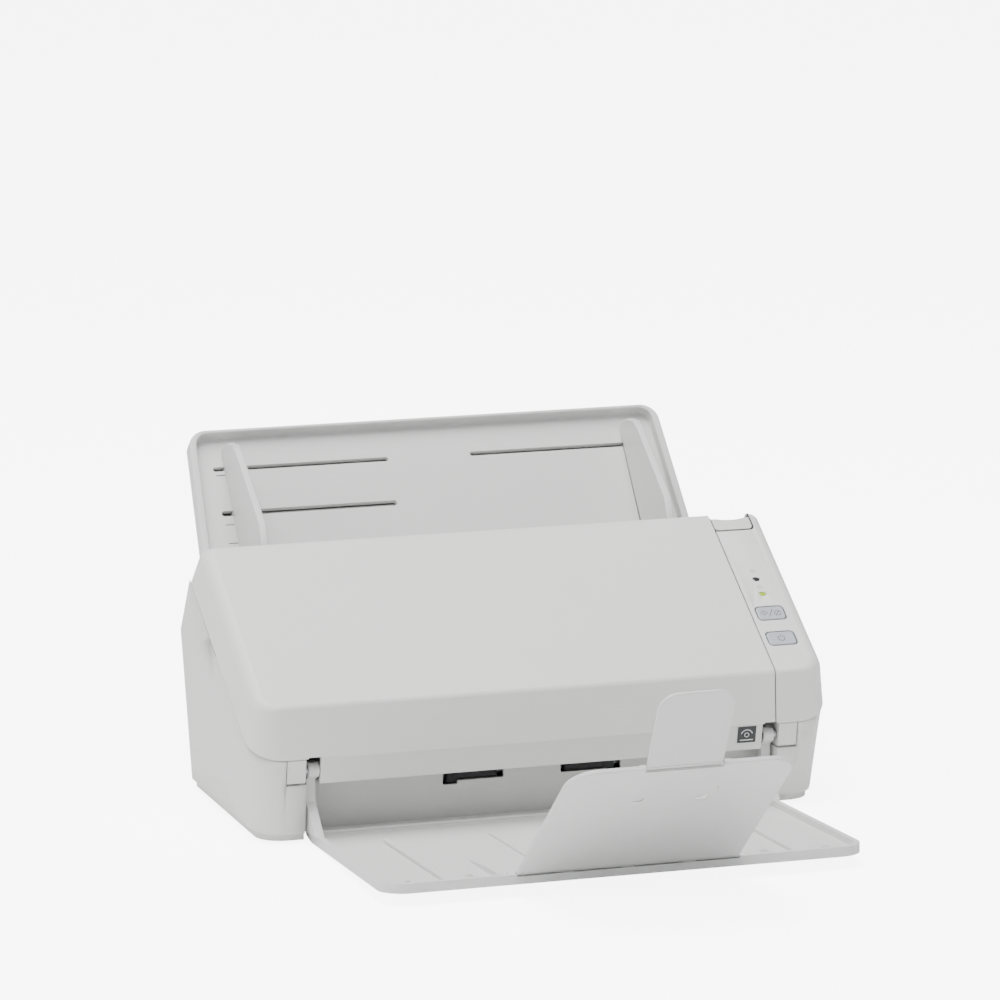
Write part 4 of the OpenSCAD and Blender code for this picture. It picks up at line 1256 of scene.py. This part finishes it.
@dataclass
class Chute:
    """Paper chute with its side guides and the sliding extension."""

    foot_half_w: float = 133.0
    top_half_w: float = 126.5
    length: float = 112.0
    thick: float = 3.0
    rim_h: float = 6.0
    rim_w: float = 4.0
    slot_w: float = 2.4

    def _half_width(self, t: float) -> float:
        """Half the plate's width at a distance up the plate."""
        return self.foot_half_w + (self.top_half_w - self.foot_half_w) * t / self.length

    def _outline(self, inset: float, low: float, high: float, radius: float) -> Outline:
        """Tapering outline with round upper corners, drawn in from the plate's sides."""
        foot, top = self._half_width(low) - inset, self._half_width(high) - inset
        corner = arc((top - radius, high - radius), radius, 3, 90, 10)
        return [(-foot, low), (foot, low)] + corner + [(-x, y) for x, y in reversed(corner)]

    def _slot(self, x0: float, x1: float, t: float, width: float) -> bpy.types.Object:
        """Long slot with round ends."""
        outline = rounded((x0, t - width / 2), (x1, t + width / 2), (width / 2 - 0.01,) * 4, 5)
        return prism("slot", outline, -5, 1, CHUTE)

    def _plate(self) -> None:
        """Rimmed plate that the paper lies on."""
        plate = prism("chute_plate_skin", self._outline(0, 3, self.length, 9.5), -self.thick, self.rim_h, CHUTE)
        cut(plate, prism("bed", self._outline(self.rim_w, -1, self.length - 2, 6.5), 0, 9, CHUTE))
        eased(plate, 0.95, 4)
        weld(plate, cuboid("tongue", (-112.9, -7.9, -self.thick + 0.02), (112.9, 5, -0.02), CHUTE))
        cut(plate, *[self._slot(*span(side, 22, 115), 92, self.slot_w) for side in (-1, 1)],
            self._slot(-115, -22, 66.5, 3), self._slot(22, 115, 41.5, 3))
        weld(plate, prism("pinion_boss", arc((0, 54), 2, 0, 350, 35), -7.4, -self.thick + 0.1, CHUTE))
        publish(shaded(plate, 40), Finish.TRAY, "base", "shell", "chute_plate")

    def _back(self) -> None:
        """Hollow rear shell that holds the extension."""
        back = prism("chute_back_skin", self._outline(3, 4, self.length - 4, 7.5), -13, -self.thick, CHUTE)
        eased(back, 1.2, 4)
        cut(back, prism("hollow", self._outline(5.5, 6, self.length - 6, 5), -11, -self.thick + 1, CHUTE),
            cuboid("mouth", (-46, self.length - 10, -10.6), (46, self.length + 5, -7.6), CHUTE))
        publish(shaded(back, 40), Finish.BASE, "base", "shell", "chute_back")

    def _size_marks(self) -> None:
        """Printed paper-size marks at both sides of the plate."""
        for side, name in ((-1, "left"), (1, "right")):
            for kind, count, size, x, y, pitch in (("size_marks", 2, (4.6, 0.5, 0.05), 111.8, 49.4, 10.6),
                                                   ("widest_mark", 1, (4.8, 0.55, 0.05), 111.7, 88.4, 1)):
                piece = BLOCK_ROW.make(f"{name}_{kind}", Finish.PRINT, CHUTE, Count=count, Size=size,
                                       Start=(x * side, y, 0.02), Step=(0, pitch, 0))
                publish(piece, Finish.PRINT, "base", "shell")

    def _guide(self, node: str, body: str) -> None:
        """Side guide: a fin with a soft front edge over its toothed rack."""
        fin = combine(copy_of(node, node + "_fin"), "INTERSECT",
                      cuboid("upper", (-200, -20, -1), (200, 140, 60), CHUTE))
        rack = combine(copy_of(node, node + "_rack"), "INTERSECT",
                       cuboid("lower", (-200, -20, -30), (200, 140, -1), CHUTE))
        publish(eased(fin, 1.3, 5, 40), Finish.SMOOTH, body, "shell", node)
        publish(eased(rack, 0.12, 1), Finish.SMOOTH, body, "shell")

    def build(self) -> None:
        """Makes the chute's pieces."""
        self._plate()
        self._back()
        self._size_marks()
        self._guide("left_guide", "left_paper_guide")
        self._guide("right_guide", "right_paper_guide")
        softened("guide_pinion", Finish.GEAR, "pinion", "gear", 0.12)
        softened("chute_extension", Finish.TRAY, "chute_slide", "shell", 0.6)


# ---------------------------------------------------------------- stacker

@dataclass
class Stacker:
    """Fold-up stacker: tray, arms and its two hinged extension plates."""

    ext_half_w: float = 55.0
    ext_len: float = 106.8
    ext_t: float = 2.4
    tip_half_w: float = 18.5
    tip_u: float = TIP_U
    tip_len: float = 43.0
    tip_t: float = 1.5
    floor: float = 1.8
    wedge_y: float = -121.0

    def _leaf(self, half: float, low: float, high: float, radius: float) -> Outline:
        """Plate outline with two round far corners."""
        return rounded((-half, low), (half, high), (0.6, 0.6, radius, radius), 12)

    def _extension(self) -> None:
        """Large plate with its barrels, finger slots and bed for the small plate."""
        plate = prism("extension_skin", self._leaf(self.ext_half_w, 4.0, self.ext_len, 14), -self.ext_t / 2,
                      self.ext_t / 2, EXTENSION)
        eased(plate, 0.7, 4)
        foot = combine(copy_of("extension_plate", "extension_barrels"), "INTERSECT",
                       cuboid("foot", (-60, -5, -5), (60, 4.4, 5), EXTENSION))
        bed = self.tip_half_w + 0.45
        bed_low = self.tip_u - self.tip_len - 1
        cut(plate, cuboid("bed", (-bed, bed_low, -0.5), (bed, self.ext_len + 3, 5), EXTENSION),
            cuboid("barrel_room", (-bed, self.tip_u - 1.8, -5), (bed, self.ext_len + 5, 5), EXTENSION))
        for x in (-14.0, 17.5):
            path = [(x - 3.4, 71.5), (x + 1.6, 71.5), (x + 2.6, 76.2), (x + 1.2, 76.2), (x + 0.2, 73.6),
                    (x - 3.4, 73.6)]
            cut(plate, prism("finger_slot", path, -3, 3, EXTENSION))
        for x in (-2.7, 22.5):
            cut(plate, prism("pip", arc((x, 82), 0.7, 0, 345, 23), -3, 3, EXTENSION))
        for side in (-1, 1):
            low, high = span(side, 19, 22)
            pad = cuboid("pad", (low, 103, 0), (high, self.ext_len, 1.55), EXTENSION)
            weld(plate, eased(pad, 0.35))
        cut(plate, rod_x("pin_bore", (self.tip_u, TIP_RISE), 0.62, -22, 22, EXTENSION))
        publish(shaded(plate, 40), Finish.TRAY, "extension", "shell", "extension_plate")
        publish(eased(foot, 0.2), Finish.TRAY, "extension", "shell")

    def _tip(self) -> None:
        """Small plate with its barrel."""
        outline = self._leaf(self.tip_half_w, 0.4, self.tip_len, 9.5)
        plate = prism("tip_skin", outline, -self.tip_t / 2, self.tip_t / 2, TIP)
        eased(plate, 0.5, 4)
        weld(plate, rod_x("barrel", (0, 0), 1.05, -self.tip_half_w, self.tip_half_w, TIP))
        cut(plate, rod_x("bore", (0, 0), 0.65, -40, 40, TIP))
        publish(shaded(plate, 40), Finish.TRAY, "tip", "shell", "tip_plate")

    def _wedge(self, x: float, width: float, length: float, height: float) -> bpy.types.Object:
        """Low wedge on the tray's floor, flat behind the front rim and running out towards the machine."""
        foot, top = self.floor - 0.5, self.floor + height
        profile = [(self.wedge_y, foot), (self.wedge_y, top), (self.wedge_y + length * 0.35, top),
                   (self.wedge_y + length, self.floor - 0.1), (self.wedge_y + length, foot)]
        return slice_x("tray_wedges", profile, x - width / 2, x + width / 2, TRAY)

    def _tray_details(self) -> None:
        """Ribs, wedges and the rear bead moulded on the tray's floor, clear of the folded plate, and two thin
        dark strips of painted rib shadow.
        """
        ribs = BLOCK_ROW.make("tray_ribs", Finish.TRAY, TRAY, Count=2, Size=(2.8, 102.0, 2.3),
                              Start=(-87, -69, self.floor + 1.0), Step=(174.0, 0, 0))
        publish(eased(ribs, 0.7, 3), Finish.TRAY, "stacker", "shell")
        # Painted shadow: two thin dark strips on the tray's floor for the shadow of two low ribs.
        rib_shadow_strips = BLOCK_ROW.make("tray_rib_shadows", Finish.INNER, TRAY, Count=2, Size=(0.7, 99.0, 0.08),
                               Start=(-35, -68, self.floor + 0.43), Step=(70.0, 0, 0))
        publish(rib_shadow_strips, Finish.INNER, "stacker", "shell")
        sizes = ((61.8, 2.4, 55, 2.7), (73.5, 2.2, 17, 2.6), (104, 2.2, 14, 2.4))
        wedges = [self._wedge(side * x, *size) for x, *size in sizes for side in (-1, 1)]
        publish(eased(weld(*wedges), 0.5, 3), Finish.TRAY, "stacker", "shell")
        bead = rod_x("tray_rear_bead", (9.0, 3.2), 1.15, -114, 114, TRAY, 20)
        publish(eased(bead, 0.3), Finish.TRAY, "stacker", "shell")

    def build(self) -> None:
        """Makes the stacker's pieces."""
        softened("stacker_tray", Finish.TRAY, "stacker", "shell", 0.5)
        softened("stacker_arms", Finish.TRAY, "stacker", "shell", 0.6)
        softened("extension_pin", Finish.STEEL, "stacker", "steel", 0.1)
        self._extension()
        softened("tip_pin", Finish.STEEL, "extension", "steel", 0.1)
        self._tip()
        self._tray_details()


# ---------------------------------------------------------------- mechanism

@dataclass
class Mechanism:
    """Rollers, shafts and gears of the paper feed."""

    rollers: tuple[tuple[str, str], ...] = (
        ("pick_roller", "pick"), ("brake_roller", "brake"), ("feed_rollers", "feed"), ("exit_rollers", "exit"))
    shafts: tuple[tuple[str, str], ...] = (
        ("pick_shaft", "pick"), ("feed_shaft", "feed"), ("exit_shaft", "exit"))
    gears: tuple[tuple[str, str], ...] = (
        ("pick_gear", "pick"), ("pick_idler_gear", "pick_idler"), ("feed_gear", "feed"), ("exit_gear", "exit"),
        ("exit_idler_gear", "exit_idler"), ("motor_pinion", "motor"))
    idlers: tuple[tuple[str, str], ...] = (
        ("feed_idlers", "cover_feed_rollers"), ("exit_idlers", "cover_exit_rollers"))
    treads: tuple[tuple[str, Point, float, tuple[tuple[float, float], ...]], ...] = (
        ("pick", (38.6, 37.0), 8.0, ((-20, 20),)),
        ("brake", (31.4, 49.3), 6.0, ((-11, 11),)),
        ("feed", (9.0, 28.3), 7.5, ((-46, -18), (18, 46))),
        ("exit", EXIT_AXIS, 7.0, ((-43.4, -17.4), (17.4, 43.4))))

    def build(self) -> None:
        """Makes the feed's moving pieces."""
        for node, body in self.rollers:
            softened(node, Finish.RUBBER, body, "rubber", 0.4)
        for node, body in self.shafts:
            softened(node, Finish.STEEL, body, "steel", 0.4)
        for node, body in self.gears:
            softened(node, Finish.GEAR, body, "gear", 0.12)
        for node, body in self.idlers:
            softened(node, Finish.DARK, body, "dark", 0.4)
        self._treads()

    def _treads(self) -> None:
        """Fine ribs that stand on the rollers' rubber."""
        for body, (y, z), radius, spans in self.treads:
            for side, (low, high) in zip(("first", "second"), spans):
                tread = BLOCK_RING.make(f"{body}_{side}_tread", Finish.RUBBER, BODY, Count=round(radius * 3.4),
                                        Start=((low + high) / 2, y, z), Size=(high - low - 1.4, 0.6, 0.8),
                                        Radius=radius - 0.16)
                publish(tread, Finish.RUBBER, body, "rubber")


def main() -> None:
    """Builds the machine."""
    logging.basicConfig(level=logging.INFO, format="%(message)s")
    studio = Studio()
    studio.camera()
    studio.build()
    for assembly in (Cover(), OperatorPanel(), Base(), Chute(), Stacker(), Mechanism()):
        LOG.info("building %s", type(assembly).__name__)
        assembly.build()


if __name__ == "__main__":
    main()
